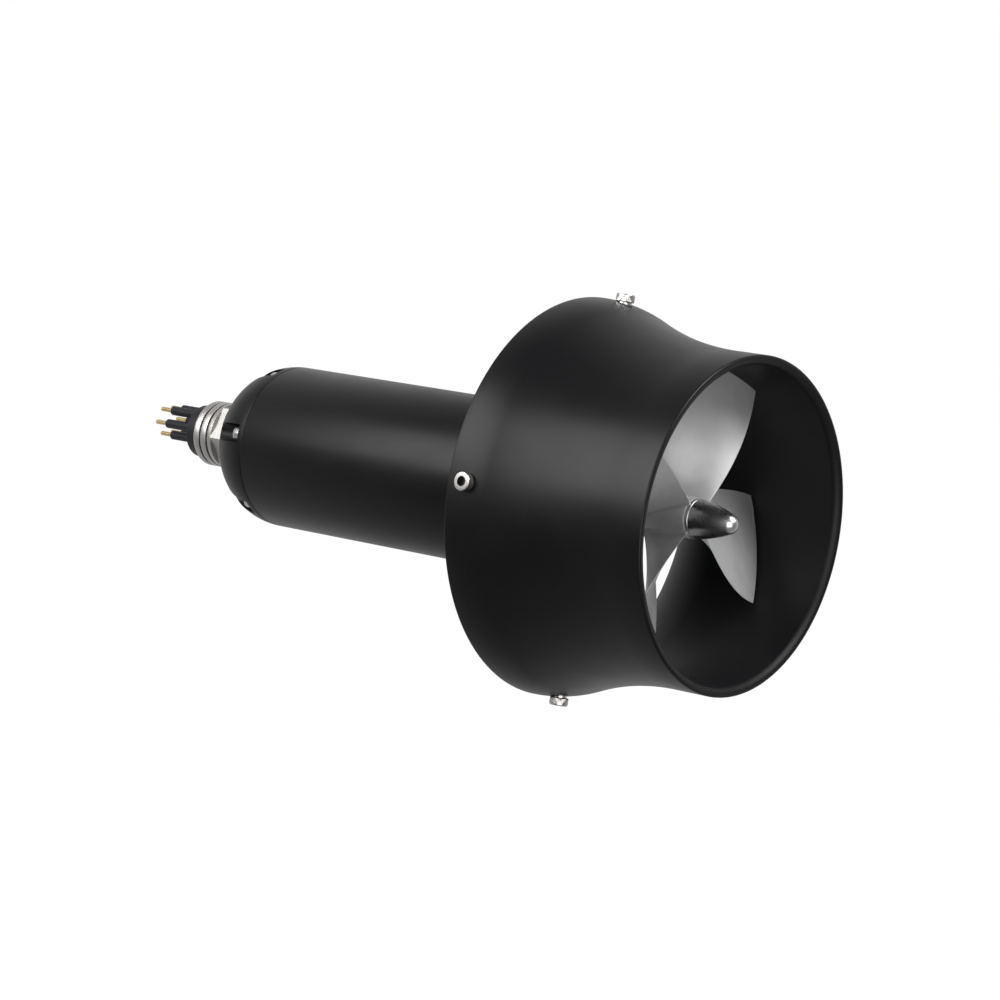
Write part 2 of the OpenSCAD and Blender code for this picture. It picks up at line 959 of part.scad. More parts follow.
module duct_profile() {
    // The outward and the inward curve meet without a corner
    rise = outlet_r + waist_r - (inlet_r - flare_r);
    run = sqrt(pow(flare_r + waist_r, 2) - rise * rise);
    meet_s = duct_s + flare_r * run / (flare_r + waist_r);
    waist_s = duct_s + run;
    bell_h = inlet_bore_r - bore_r;
    bell_r = (bell_l * bell_l + bell_h * bell_h) / (2 * bell_h);
    lip = (inlet_r - inlet_bore_r) / 2;
    lap = 0.5;
    difference() {
        union() {
            intersection() {
                translate([inlet_r - flare_r, duct_s])
                    circle(r = flare_r, $fn = 180);
                translate([bore_r - 1, duct_s])
                    square([inlet_r - bore_r + 1, meet_s - duct_s + lap]);
            }
            difference() {
                translate([bore_r - 1, meet_s])
                    square([inlet_r - bore_r, waist_s - meet_s]);
                translate([outlet_r + waist_r, waist_s])
                    circle(r = waist_r, $fn = 360);
            }
            translate([bore_r - 1, waist_s - lap])
                square([outlet_r - bore_r + 1, duct_e - waist_s + lap]);
        }
        difference() {
            translate([bore_r - 2, duct_s - 1])
                square([inlet_bore_r - bore_r + 2 + lip, bell_l + 1]);
            translate([bore_r + bell_r, duct_s + bell_l])
                circle(r = bell_r, $fn = 180);
        }
        translate([bore_r - 2, duct_s + bell_l - 0.01])
            square([2, duct_l]);
        difference() {
            translate([bore_r - 1, duct_e - lip_round])
                square([lip_round + 1, lip_round + 1]);
            translate([bore_r + lip_round, duct_e - lip_round])
                circle(r = lip_round, $fn = 96);
        }
    }
}

module duct() {
    color("#232428")
        difference() {
            from_seam()
                rotate_extrude($fn = 128)
                    duct_profile();
            outward(strut_count, strut_angle, strut_s) {
                translate([0, 0, bore_r - 1])
                    cylinder(r = m3_hole_r, h = inlet_r - bore_r + 3);
                translate([0, 0, spot_r])
                    cylinder(r = duct_washer_r + 0.2, h = 5);
            }
        }
}

module duct_screws() {
    head = spot_r + duct_washer_t;
    top = head + duct_head_h;
    c = edge_chamfer;
    color("#cfd2d6")
        outward(strut_count, strut_angle, strut_s)
            difference() {
                union() {
                    translate([0, 0, spot_r - duct_screw_l])
                        cylinder(r = m3_r, h = duct_screw_l + 2 * duct_washer_t);
                    translate([0, 0, head])
                        cylinder(r = duct_head_r, h = duct_head_h - c);
                    translate([0, 0, top - c])
                        cylinder(r1 = duct_head_r, r2 = duct_head_r - c, h = c);
                }
                translate([0, 0, top - m3_socket_l])
                    hex(m3_socket, m3_socket_l + 1);
            }
}

module duct_washers() {
    color("#bfc3c8")
        outward(strut_count, strut_angle, strut_s)
            translate([0, 0, spot_r])
                difference() {
                    cylinder(r = duct_washer_r, h = duct_washer_t);
                    translate([0, 0, -1])
                        cylinder(r = m3_r + 0.1, h = duct_washer_t + 2);
                }
}

// Propeller

module drive_pin() {
    color("#b9bdc2")
        outward(1, drive_pin_angle, drive_pin_s)
            translate([0, 0, -hub_r + 0.3])
                cylinder(r = drive_pin_r, h = 2 * hub_r - 0.6);
}

// Angle of the two blade edges from the tip corner, by relative radius
function blade_u(r) = (r - hub_r) / (prop_r - hub_r);
function inlet_edge(r) = 12 * sqrt(max(0, 1 - max(blade_u(r), 0)));
function outlet_edge(r) = -tip_sweep - 8.5 * (1 - pow(max(blade_u(r), 0), 1.7));
function blade_t(r) = root_t + (tip_t - root_t) * pow(max(blade_u(r), 0), 0.8);
function blade_bend(r, v) = inlet_bend * pow(1 - max(blade_u(r), 0), 4) * (1 - v) * (1 - v);

// Point of a blade: row radius, share of the chord from the inlet edge, side 0 or 1
function blade_point(r, v, side) =
    let (
        turn = inlet_edge(r) + v * (outlet_edge(r) - inlet_edge(r)),
        t = side * (edge_t + (blade_t(r) - edge_t) * 4 * v * (1 - v)),
        rad = helix * 180 / PI,
        slope = sqrt(r * r + rad * rad),
        a = blade_angle + turn - t * rad / slope / r * 180 / PI,
        s = tip_s - helix * turn - t * r / slope - blade_bend(r, v)
    )
    [r * cos(a), r * sin(a), s];

function blade_row_r(i) = blade_root_r + (prop_r - blade_root_r) * i / blade_rows;

function blade_points() = [
    for (side = [0, 1])
        for (i = [0:blade_rows])
            for (j = [0:blade_cols])
                blade_point(blade_row_r(i), j / blade_cols, side)
];

function blade_index(side, i, j) = (side * (blade_rows + 1) + i) * (blade_cols + 1) + j;

// Two triangles between four corners
function pair(a, b, c, d) = [[a, c, b], [a, d, c]];

function blade_faces() = concat(
    [for (i = [0:blade_rows - 1]) for (j = [0:blade_cols - 1]) for (f = pair(
        blade_index(0, i, j), blade_index(0, i, j + 1),
        blade_index(0, i + 1, j + 1), blade_index(0, i + 1, j))) f],
    [for (i = [0:blade_rows - 1]) for (j = [0:blade_cols - 1]) for (f = pair(
        blade_index(1, i, j), blade_index(1, i + 1, j),
        blade_index(1, i + 1, j + 1), blade_index(1, i, j + 1))) f],
    [for (i = [0:blade_rows - 1]) for (f = pair(
        blade_index(0, i, 0), blade_index(0, i + 1, 0),
        blade_index(1, i + 1, 0), blade_index(1, i, 0))) f],
    [for (i = [0:blade_rows - 1]) for (f = pair(
        blade_index(0, i, blade_cols), blade_index(1, i, blade_cols),
        blade_index(1, i + 1, blade_cols), blade_index(0, i + 1, blade_cols))) f],
    [for (j = [0:blade_cols - 1]) for (f = pair(
        blade_index(0, 0, j), blade_index(1, 0, j),
        blade_index(1, 0, j + 1), blade_index(0, 0, j + 1))) f],
    [for (j = [0:blade_cols - 1]) for (f = pair(
        blade_index(0, blade_rows, j), blade_index(0, blade_rows, j + 1),
        blade_index(1, blade_rows, j + 1), blade_index(1, blade_rows, j))) f]
);

module propeller() {
    color("#d7d9dc")
        difference() {
            union() {
                rod(hub_r, hub_s, hub_e);
                from_seam()
                    spread(blade_count, 0)
                        polyhedron(points = blade_points(), faces = blade_faces());
            }
            rod(shaft_r + fit, hub_s - 2, hub_e + 2);
            outward(1, drive_pin_angle, drive_pin_s) {
                translate([0, 0, -hub_r - 1])
                    cylinder(r = drive_pin_r + fit, h = 2 * hub_r + 2);
                translate([0, -drive_pin_r - fit, -hub_r - 1])
                    cube([4, 2 * (drive_pin_r + fit), 2 * hub_r + 2]);
            }
        }
}

module prop_washer() {
    color("#c9ccd0")
        ring(stud_r + fit, hub_r - 0.05, hub_e, washer_e);
}

module nose_cone() {
    base_r = hub_r - 0.15;
    base_turn = 6.8;
    curve_s = washer_e - nose_curve * sin(base_turn);
    curve_r = base_r - nose_curve * cos(base_turn);
    reach = nose_curve - (nose_e - curve_s);
    tip_step = (curve_r * curve_r - reach * reach) / (2 * reach);
    tip_r = nose_e - curve_s - tip_step;
    meet_s = curve_s + tip_step * nose_curve / (nose_curve - tip_r);
    color("#d2d5d9")
        difference() {
            from_seam()
                rotate_extrude($fn = 96)
                    union() {
                        intersection() {
                            translate([curve_r, curve_s])
                                circle(r = nose_curve, $fn = 360);
                            translate([0, washer_e])
                                square([hub_r, meet_s - washer_e]);
                        }
                        intersection() {
                            translate([0, curve_s + tip_step])
                                circle(r = tip_r, $fn = 96);
                            translate([0, meet_s - 1])
                                square([hub_r, hub_r]);
                        }
                    }
            rod(stud_r + fit, washer_e - 1, hub_e + stud_l + 0.3);
            outward(1, 115, nose_e - 3.8)
                translate([0, 0, -hub_r])
                    cylinder(r = nose_hole_r, h = 2 * hub_r);
        }
}

motor_housing();
rear_cap();
rear_cap_oring();
cap_screws();
connector_shell();
connector_insert();
connector_pins();
connector_oring();
connector_nut();
lead_wires();
controller_board();
power_transistors();
capacitors();
board_standoffs();
board_screws();
phase_wires();
rear_bearing_plate();
plate_snap_ring();
rear_outer_ring();
rear_inner_ring();
rear_cage();
rear_balls();
stator_core();
stator_coils();
shaft();
rotor_core();
rotor_magnets();
rear_spacer();
front_cap();
front_cap_oring();
front_cap_screws();
front_outer_ring();
front_inner_ring();
front_cage();
front_balls();
bearing_snap_ring();
shaft_seals();
strut_spider();
fairing_cone();
duct();
duct_screws();
duct_washers();
drive_pin();
propeller();
prop_washer();
nose_cone();
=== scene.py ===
import json
import math
from types import SimpleNamespace

import bpy
from bpy.props import (
    FloatProperty,
    FloatVectorProperty,
    IntProperty,
    PointerProperty,
)
from mathutils import Matrix, Vector


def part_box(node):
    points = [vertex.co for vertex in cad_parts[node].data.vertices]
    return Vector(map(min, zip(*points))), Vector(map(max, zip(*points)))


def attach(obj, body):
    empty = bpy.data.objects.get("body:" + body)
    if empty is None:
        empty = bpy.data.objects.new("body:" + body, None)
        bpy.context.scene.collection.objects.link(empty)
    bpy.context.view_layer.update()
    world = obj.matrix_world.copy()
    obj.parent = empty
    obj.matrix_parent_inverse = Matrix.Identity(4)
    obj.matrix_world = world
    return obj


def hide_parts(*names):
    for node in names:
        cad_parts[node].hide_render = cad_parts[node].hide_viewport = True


bl_info = {
    "name": "Underwater thruster",
    "version": (1, 0, 0),
    "blender": (4, 5, 0),
    "location": "View3D > Sidebar > Thruster",
    "description": "Dresses a ducted underwater thruster with turned, cut and finished pieces",
    "category": "Object",
}

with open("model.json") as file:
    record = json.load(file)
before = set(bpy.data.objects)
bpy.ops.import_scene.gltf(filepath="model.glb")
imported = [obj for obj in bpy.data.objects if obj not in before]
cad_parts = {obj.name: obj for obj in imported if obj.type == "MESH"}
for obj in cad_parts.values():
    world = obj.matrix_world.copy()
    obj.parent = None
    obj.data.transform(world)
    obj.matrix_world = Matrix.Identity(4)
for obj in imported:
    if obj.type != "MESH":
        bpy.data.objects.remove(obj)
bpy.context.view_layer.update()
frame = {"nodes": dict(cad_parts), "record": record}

MM = 0.001
TUBE_LOW, TUBE_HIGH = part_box("motor_housing")
DUCT_LOW, DUCT_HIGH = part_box("duct")
SEAM = TUBE_LOW[0]
LOOK = Vector((-0.6258, 0.7491, -0.2175)).normalized()
CAMERA_PLACE, CAMERA_LENS, CAMERA_SENSOR = (0.7062, -0.80805, 0.22943), 125.76, 36.0
LAMP_DISTANCE = 1.3
FLOOR_SIZE, FLOOR_HEIGHT = 12, -0.45

# Points of a mesh that lie nearer than this, in metres, become one
MERGE = 0.000002

# Fits and places that have no slider, in millimetres from the cap seam or from what they name
SLIDE = 0.03
SCREW_HOLE = 1.65
STUD_HOLE = 3.03
SHAFT_HOLE = 4.03
SHANK_R, SHANK_END, SHANK_BORE = 7.0, -6.8, 5.6
FLANGE_L = 6.0
CONE_LEAD = 1.6
HUB_LEAD, HUB_GAP = 3.7, 1.3


# Sizes and colours


def length(name, description, default):
    return FloatProperty(
        name=name, description=description, default=default, min=0.0, unit="LENGTH", precision=5
    )


def angle(name, description, degrees):
    return FloatProperty(
        name=name, description=description, default=math.radians(degrees), subtype="ANGLE"
    )


def colour(name, description, default):
    return FloatVectorProperty(
        name=name, description=description, default=default, size=3, min=0.0, max=1.0, subtype="COLOR"
    )


class ThrusterSizes(bpy.types.PropertyGroup):
    """Sizes of the pieces that show"""

    tube_r: length("Housing radius", "Outside radius of the motor housing", TUBE_HIGH[2])
    tube_l: length("Housing length", "Length of the housing tube", TUBE_HIGH[0] - TUBE_LOW[0])
    tube_wall: length("Housing wall", "Wall of the housing tube", 0.006)
    edge: length("Edge rounding", "Rounding of the turned edges", 0.0003)
    screw_count: IntProperty(name="Cap screws", description="Number of rear cap screws", default=6, min=3)
    screw_angle: angle("Cap screw angle", "Angle of the first rear cap screw", 161.6)
    screw_inset: length("Cap screw inset", "Screw circle inward from the outside of the housing", 0.0035)
    dome_inset: length(
        "Dome inset", "Centre of the dome's rim curve inward from the outside of the housing", 0.004
    )
    dome_flat: length("Dome flat", "Radius of the curve round the connector over the housing radius", 0.002)
    notch_r: length("Notch half width", "Half width of the screw notches in the rear cap", 0.00295)
    notch_floor: length("Notch floor", "Floor of the screw notches behind the seam", 0.0021)
    head_r: length("Cap screw head", "Radius of the heads of the cap screws", 0.00275)
    head_h: length("Cap screw head height", "Height of the heads of the cap screws", 0.003)
    shell_r: length("Connector radius", "Radius of the turned connector shell", 0.01065)
    shell_l: length("Connector length", "Length of the shell behind its seat", 0.0152)
    shell_land: length("Connector land", "Length of the rear land of the shell", 0.0026)
    shell_groove: length("Connector groove", "Depth of the turned grooves", 0.0007)
    flats: length("Wrench flats", "Width across the flats of the wrench base", 0.019)
    flats_l: length("Wrench base", "Length of the wrench base", 0.0072)
    flats_angle: angle("Wrench angle", "Angle of one corner of the wrench base", 173.5)
    insert_r: length("Rubber radius", "Radius of the rubber base", 0.0086)
    insert_l: length("Rubber length", "Length of the rubber base", 0.0075)
    insert_bevel: length("Rubber bevel", "Bevel round the face of the rubber base", 0.0024)
    pin_count: IntProperty(name="Pins", description="Number of contact pins", default=6, min=1)
    pin_angle: angle("Pin angle", "Angle of the first pin", 116.6)
    pin_circle: length("Pin circle", "Radius of the pin circle", 0.0047)
    pin_rise: length("Pin rise", "Height of the pin circle above the long axis", 0.00145)
    pin_r: length("Pin radius", "Radius of the contact pins", 0.00075)
    pin_l: length("Pin length", "Bare length of the contact pins", 0.0051)
    sleeve_r: length("Sleeve radius", "Radius of the rubber sleeve on each pin", 0.0015)
    sleeve_l: length("Sleeve length", "Length of the sleeves", 0.010)
    inlet_r: length("Inlet radius", "Outside radius of the duct at its inlet", DUCT_HIGH[2])
    inlet_wall: length("Inlet wall", "Wall of the duct at its inlet edge", 0.0035)
    outlet_r: length("Outlet radius", "Outside radius of the duct at its outlet", 0.0506)
    outlet_wall: length("Outlet wall", "Wall of the duct round the propeller", 0.0032)
    lip: length("Lip rounding", "Rounding of the inner edge at the outlet", 0.0024)
    duct_l: length("Duct length", "Length of the duct", DUCT_HIGH[0] - DUCT_LOW[0])
    bell_l: length("Inlet curve", "Length of the curved inlet bore", 0.0222)
    flare_r: length("Flare radius", "Radius of the outward curve behind the inlet", 0.0326)
    waist_r: length("Waist radius", "Radius of the inward curve towards the outlet", 0.1029)
    strut_count: IntProperty(name="Struts", description="Number of struts and duct screws", default=4, min=3)
    strut_angle: angle("Strut angle", "Angle of the first strut", 75.3)
    strut_station: length("Strut station", "Distance of the strut line from the duct inlet", 0.0066)
    strut_chord: length("Strut chord", "Chord of a strut", 0.011)
    strut_t: length("Strut thickness", "Thickness of a strut", 0.006)
    spot_depth: length("Spot-face", "Depth of the spot-face under each duct screw", 0.0007)
    knurl_r: length("Duct screw head", "Radius of the knurled heads of the duct screws", 0.00284)
    knurl_h: length("Duct screw head height", "Height of the knurled heads of the duct screws", 0.0024)
    ring_r: length("Duct washer", "Radius of the washers under the duct screws", 0.0022)
    ring_t: length("Duct washer thickness", "Thickness of the washers under the duct screws", 0.001)
    blade_count: IntProperty(name="Blades", description="Number of propeller blades", default=4, min=2)
    blade_angle: angle("Blade angle", "Angle of the inlet-side tip corner of the first blade", -2.0)
    blade_station: length("Blade station", "That corner in front of the end of the tube", 0.0369)
    tip_gap: length("Tip gap", "Gap between the blade tips and the duct", 0.0009)
    pitch: length("Pitch", "Pitch of the blades", 0.1017)
    tip_sweep: angle("Tip sweep", "Angular width of a blade at its tip", 42.6)
    root_t: length("Root thickness", "Thickness of a blade at the hub", 0.0035)
    tip_t: length("Tip thickness", "Thickness of a blade at its tip", 0.001)
    edge_t: length("Blade edge", "Thickness of the blade edges", 0.0002)
    inlet_bend: length("Inlet bend", "Bend of the inlet edge towards the housing, at the hub", 0.002)
    root_fillet: length("Root fillet", "Fillet between blade and hub", 0.0006)
    hub_r: length("Hub radius", "Radius of the propeller hub", 0.00615)
    hub_l: length("Hub length", "Length of the propeller hub", 0.02015)
    washer_t: length("Washer", "Thickness of the washer under the nose cone", 0.00135)
    nose_l: length("Nose length", "Length of the nose cone", 0.0137)
    nose_curve: length("Nose curve", "Radius of the long curve of the nose cone", 0.045)
    nose_hole_r: length("Nose hole", "Radius of the cross hole in the nose cone", 0.0011)


class ThrusterFinishes(bpy.types.PropertyGroup):
    """Colours of the finishes"""

    anodised: colour("Black anodised", "Housing, caps, struts and duct", (0.0042, 0.0042, 0.0052))
    stainless: colour("Stainless steel", "Connector shell and screws", (0.66, 0.64, 0.62))
    propeller: colour("Propeller metal", "Blades and hub", (0.72, 0.72, 0.725))
    rubber: colour("Rubber", "Connector insert and seals", (0.012, 0.012, 0.017))
    gold: colour("Gold plate", "Contact pins", (0.88, 0.67, 0.34))
    floor: colour("Floor", "Plain pale floor", (0.85, 0.85, 0.85))


def plan():
    """Sizes from the sidebar in millimetres and degrees, with the stations that follow from them."""
    sizes = bpy.context.scene.thruster_sizes
    p = SimpleNamespace()
    for key, prop in ThrusterSizes.bl_rna.properties.items():
        if prop.type == "INT":
            setattr(p, key, getattr(sizes, key))
        elif prop.type == "FLOAT":
            value = getattr(sizes, key)
            setattr(p, key, math.degrees(value) if prop.subtype == "ANGLE" else value / MM)
    p.bore = p.tube_r - p.tube_wall
    p.screw_circle = p.tube_r - p.screw_inset
    p.rim_r, p.pole_r = p.tube_r - p.dome_inset, p.tube_r + p.dome_flat
    p.dome = math.sqrt((p.pole_r - p.rim_r) ** 2 - p.dome_inset**2)
    p.seat = p.dome - math.sqrt(p.pole_r**2 - (p.flats / math.sqrt(3) + 0.3) ** 2)
    p.shank_end = SHANK_END
    p.shell_end = p.seat - p.shell_l
    p.insert_end = p.shell_end - p.insert_l
    p.sleeve_end = p.insert_end - p.sleeve_l
    p.pin_end = p.sleeve_end - p.pin_l
    p.flange = p.tube_l + FLANGE_L
    p.inlet = (DUCT_LOW[0] - SEAM) / MM
    p.outlet = p.inlet + p.duct_l
    p.strut = p.inlet + p.strut_station
    p.spider_end = p.strut + p.strut_chord / 2 + 0.1
    p.cone_start = p.strut + CONE_LEAD
    p.hub_start = p.blade_station + p.tube_l - p.inlet_bend - HUB_LEAD
    p.hub_end = p.hub_start + p.hub_l
    p.cone_end = p.hub_start - HUB_GAP
    p.washer_end = p.hub_end + p.washer_t
    p.nose_end = p.washer_end + p.nose_l
    p.duct_bore = p.outlet_r - p.outlet_wall
    p.blade_r = p.duct_bore - p.tip_gap
    p.flush_r = p.tube_r - p.edge
    p.spot = p.inlet_r - p.flare_r + math.sqrt(p.flare_r**2 - p.strut_station**2) - p.spot_depth
    p.bell_rise = p.inlet_r - p.inlet_wall - p.duct_bore
    p.bell_r = (p.bell_l**2 + p.bell_rise**2) / (2 * p.bell_rise)
    return p


# Ways of working


def clear_selection():
    if bpy.context.object and bpy.context.object.mode != "OBJECT":
        bpy.ops.object.mode_set(mode="OBJECT")
    bpy.ops.object.select_all(action="DESELECT")


def pick(piece):
    clear_selection()
    piece.select_set(True)
    bpy.context.view_layer.objects.active = piece


def arc(s, r, radius, start, end, count):
    """Points of a profile on an arc about (s, r), from one angle to another in degrees."""
    turns = [math.radians(start + (end - start) * i / (count - 1)) for i in range(count)]
    return [(s + radius * math.cos(a), r + radius * math.sin(a)) for a in turns]


def chain(name, points):
    """Merges a small plane to one point and extrudes that point along a chain of points in millimetres."""
    points = [Vector(q) * MM for q in points]
    clear_selection()
    bpy.ops.mesh.primitive_plane_add(size=MM, location=(0, 0, 0))
    piece = bpy.context.object
    piece.name = piece.data.name = name
    bpy.ops.object.mode_set(mode="EDIT")
    bpy.ops.mesh.merge(type="CENTER")
    bpy.ops.transform.translate(value=points[0])
    for here, there in zip(points, points[1:]):
        bpy.ops.mesh.extrude_vertices_move(TRANSFORM_OT_translate={"value": there - here})
    return piece


def close_up(smooth=30):
    """Merges doubles, turns the faces outward and leaves edit mode with soft shading below an angle."""
    bpy.ops.mesh.select_all(action="SELECT")
    bpy.ops.mesh.remove_doubles(threshold=MERGE)
    bpy.ops.mesh.normals_make_consistent(inside=False)
    bpy.ops.object.mode_set(mode="OBJECT")
    bpy.ops.object.shade_smooth_by_angle(angle=math.radians(smooth))


def turned(name, profile, steps):
    """Spins a closed profile of (station, radius) points about the long axis."""
    piece = chain(name, [(s, 0.0, r) for s, r in profile])
    bpy.ops.mesh.select_all(action="SELECT")
    bpy.ops.mesh.spin(steps=steps, angle=2 * math.pi, center=(0, 0, 0), axis=(1, 0, 0))
    close_up()
    return piece


def prism(name, outline, start, end):
    """Fills an outline of (y, z) points at one station and extrudes it along the long axis."""
    piece = chain(name, [(start, y, z) for y, z in outline])
    bpy.ops.mesh.select_all(action="SELECT")
    bpy.ops.mesh.edge_face_add()
    bpy.ops.mesh.extrude_region_move(TRANSFORM_OT_translate={"value": ((end - start) * MM, 0, 0)})
    close_up()
    return piece


def hexagon(flats, first):
    return arc(0, 0, flats / math.sqrt(3), first, first + 300, 6)


def place(piece, matrix):
    """Moves a piece and puts its place into its mesh."""
    piece.matrix_world = matrix
    pick(piece)
    bpy.ops.object.transform_apply(location=True, rotation=True, scale=True)


def along(station, y=0.0, z=0.0):
    """Place of a piece made about the long axis: its zero at a station behind or in front of the seam."""
    return Matrix.Translation((SEAM + station * MM, y * MM, z * MM))


def outward(station, degrees):
    """Place of a piece made along the long axis that is turned to point outward at a station."""
    c, s = math.cos(math.radians(degrees)), math.sin(math.radians(degrees))
    turn = Matrix(((0, 1, 0, 0), (c, 0, s, 0), (s, 0, -c, 0), (0, 0, 0, 1)))
    return along(station) @ turn


def round_the_axis(degrees):
    return Matrix.Rotation(math.radians(degrees), 4, "X")


def spaced(first, count):
    """Angles in degrees that go evenly once round, from the first one."""
    return [first + i * 360 / count for i in range(count)]


def strut_places(p):
    return [outward(p.strut, turn) for turn in spaced(p.strut_angle, p.strut_count)]


def cap_screw_places(p):
    middle = along(0, y=p.screw_circle)
    return [round_the_axis(turn) @ middle for turn in spaced(p.screw_angle, p.screw_count)]


def copies(piece, places):
    """Copies a piece to each place, every copy with its own mesh, and joins them to one piece."""
    made = []
    for matrix in places[1:]:
        pick(piece)
        bpy.ops.object.duplicate(linked=False)
        made.append((bpy.context.object, matrix))
    place(piece, places[0])
    for copy, matrix in made:
        place(copy, matrix)
    join(piece, [copy for copy, _ in made])
    return piece


def join(piece, others):
    clear_selection()
    for other in others:
        other.select_set(True)
    piece.select_set(True)
    bpy.context.view_layer.objects.active = piece
    bpy.ops.object.join()


def carve(piece, tool, how="DIFFERENCE", smooth=30):
    """Cuts, keeps or unites with a tool, and throws the tool away."""
    pick(piece)
    step = piece.modifiers.new("carve", "BOOLEAN")
    step.object, step.operation, step.solver = tool, how, "EXACT"
    bpy.ops.object.modifier_apply(modifier=step.name)
    bpy.data.objects.remove(tool)
    pick(piece)
    bpy.ops.object.shade_smooth_by_angle(angle=math.radians(smooth))


def hand_over(piece, body, slot, finish, *nodes):
    """Gives a finished piece its finish, its body and the nodes that it stands for."""
    piece.data.materials.clear()
    piece.data.materials.append(finish)
    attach(piece, body)
    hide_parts(*nodes)


# Shader groups


def group(name, inputs, outputs):
    """Starts a node group with named value inputs and outputs beside its vector input."""
    tree = bpy.data.node_groups.new(name, "ShaderNodeTree")
    tree.interface.new_socket("Vector", in_out="INPUT", socket_type="NodeSocketVector")
    for key, value in inputs:
        socket = tree.interface.new_socket(key, in_out="INPUT", socket_type="NodeSocketFloat")
        socket.default_value = value
    for key in outputs:
        tree.interface.new_socket(key, in_out="OUTPUT", socket_type="NodeSocketFloat")
    return tree, tree.nodes.new("NodeGroupInput"), tree.nodes.new("NodeGroupOutput")


def add(tree, kind, **settings):
    node = tree.nodes.new(kind)
    for key, value in settings.items():
        setattr(node, key, value)
    return node


def math_node(tree, operation, *values):
    """Math node whose inputs are numbers or sockets."""
    node = add(tree, "ShaderNodeMath", operation=operation)
    for socket, value in zip(node.inputs, values):
        if isinstance(value, (int, float)):
            socket.default_value = value
        else:
            tree.links.new(value, socket)
    return node.outputs[0]


def length_of(tree, x, y):
    """Length of the line from zero to (x, y)."""
    line = add(tree, "ShaderNodeCombineXYZ")
    tree.links.new(x, line.inputs["X"])
    tree.links.new(y, line.inputs["Y"])
    node = add(tree, "ShaderNodeVectorMath", operation="LENGTH")
    tree.links.new(line.outputs[0], node.inputs[0])
    return node.outputs["Value"]


def parts_of(tree, vector):
    node = add(tree, "ShaderNodeSeparateXYZ")
    tree.links.new(vector, node.inputs[0])
    return node.outputs["X"], node.outputs["Y"], node.outputs["Z"]


def grain_group():
    """Fine even grain of a blasted or moulded surface."""
    if "Fine grain" in bpy.data.node_groups:
        return bpy.data.node_groups["Fine grain"]
    tree, given, put = group("Fine grain", [("Size", 0.0002)], ["Height", "Tone"])
    noise = add(tree, "ShaderNodeTexNoise")
    noise.inputs["Detail"].default_value = 3.0
    noise.inputs["Roughness"].default_value = 0.6
    tree.links.new(given.outputs["Vector"], noise.inputs["Vector"])
    tree.links.new(math_node(tree, "DIVIDE", 1.0, given.outputs["Size"]), noise.inputs["Scale"])
    tree.links.new(noise.outputs["Fac"], put.inputs["Height"])
    broad = add(tree, "ShaderNodeTexNoise")
    broad.inputs["Detail"].default_value = 2.0
    tree.links.new(given.outputs["Vector"], broad.inputs["Vector"])
    tree.links.new(math_node(tree, "DIVIDE", 0.12, given.outputs["Size"]), broad.inputs["Scale"])
    tree.links.new(broad.outputs["Fac"], put.inputs["Tone"])
    return tree


def turning_group():
    """Fine rings that a lathe tool leaves round the long axis."""
    if "Turning marks" in bpy.data.node_groups:
        return bpy.data.node_groups["Turning marks"]
    tree, given, put = group("Turning marks", [("Spacing", 0.0001)], ["Height"])
    x, y, z = parts_of(tree, given.outputs["Vector"])
    spacing = given.outputs["Spacing"]
    noise = add(tree, "ShaderNodeTexNoise", noise_dimensions="2D")
    noise.inputs["Detail"].default_value = 2.0
    noise.inputs["Scale"].default_value = 1.0
    spot = add(tree, "ShaderNodeCombineXYZ")
    tree.links.new(math_node(tree, "DIVIDE", x, spacing), spot.inputs["X"])
    tree.links.new(math_node(tree, "DIVIDE", length_of(tree, y, z), spacing), spot.inputs["Y"])
    tree.links.new(spot.outputs[0], noise.inputs["Vector"])
    tree.links.new(noise.outputs["Fac"], put.inputs["Height"])
    return tree


def handling_group():
    """Soft cloudy marks of use, from none to full."""
    if "Handling marks" in bpy.data.node_groups:
        return bpy.data.node_groups["Handling marks"]
    tree, given, put = group("Handling marks", [("Size", 0.02)], ["Mask"])
    noise = add(tree, "ShaderNodeTexNoise")
    noise.inputs["Detail"].default_value = 4.0
    noise.inputs["Distortion"].default_value = 0.6
    tree.links.new(given.outputs["Vector"], noise.inputs["Vector"])
    tree.links.new(math_node(tree, "DIVIDE", 1.0, given.outputs["Size"]), noise.inputs["Scale"])
    spread = add(tree, "ShaderNodeMapRange", interpolation_type="SMOOTHSTEP")
    spread.inputs["From Min"].default_value = 0.35
    spread.inputs["From Max"].default_value = 0.7
    tree.links.new(noise.outputs["Fac"], spread.inputs["Value"])
    tree.links.new(spread.outputs["Result"], put.inputs["Mask"])
    return tree


def under_group():
    """One under a radius and none over it. The radius goes from near to far over a run along the axis."""
    if "Under a radius" in bpy.data.node_groups:
        return bpy.data.node_groups["Under a radius"]
    inputs = [("Start", 0.0), ("End", 0.02), ("Near", 0.05), ("Far", 0.05)]
    tree, given, put = group("Under a radius", inputs, ["Mask"])
    x, y, z = parts_of(tree, given.outputs["Vector"])
    limit = add(tree, "ShaderNodeMapRange")
    tree.links.new(x, limit.inputs["Value"])
    ends = {"From Min": "Start", "From Max": "End", "To Min": "Near", "To Max": "Far"}
    for key, source in ends.items():
        tree.links.new(given.outputs[source], limit.inputs[key])
    inside = math_node(tree, "LESS_THAN", length_of(tree, y, z), limit.outputs["Result"])
    tree.links.new(inside, put.inputs["Mask"])
    return tree


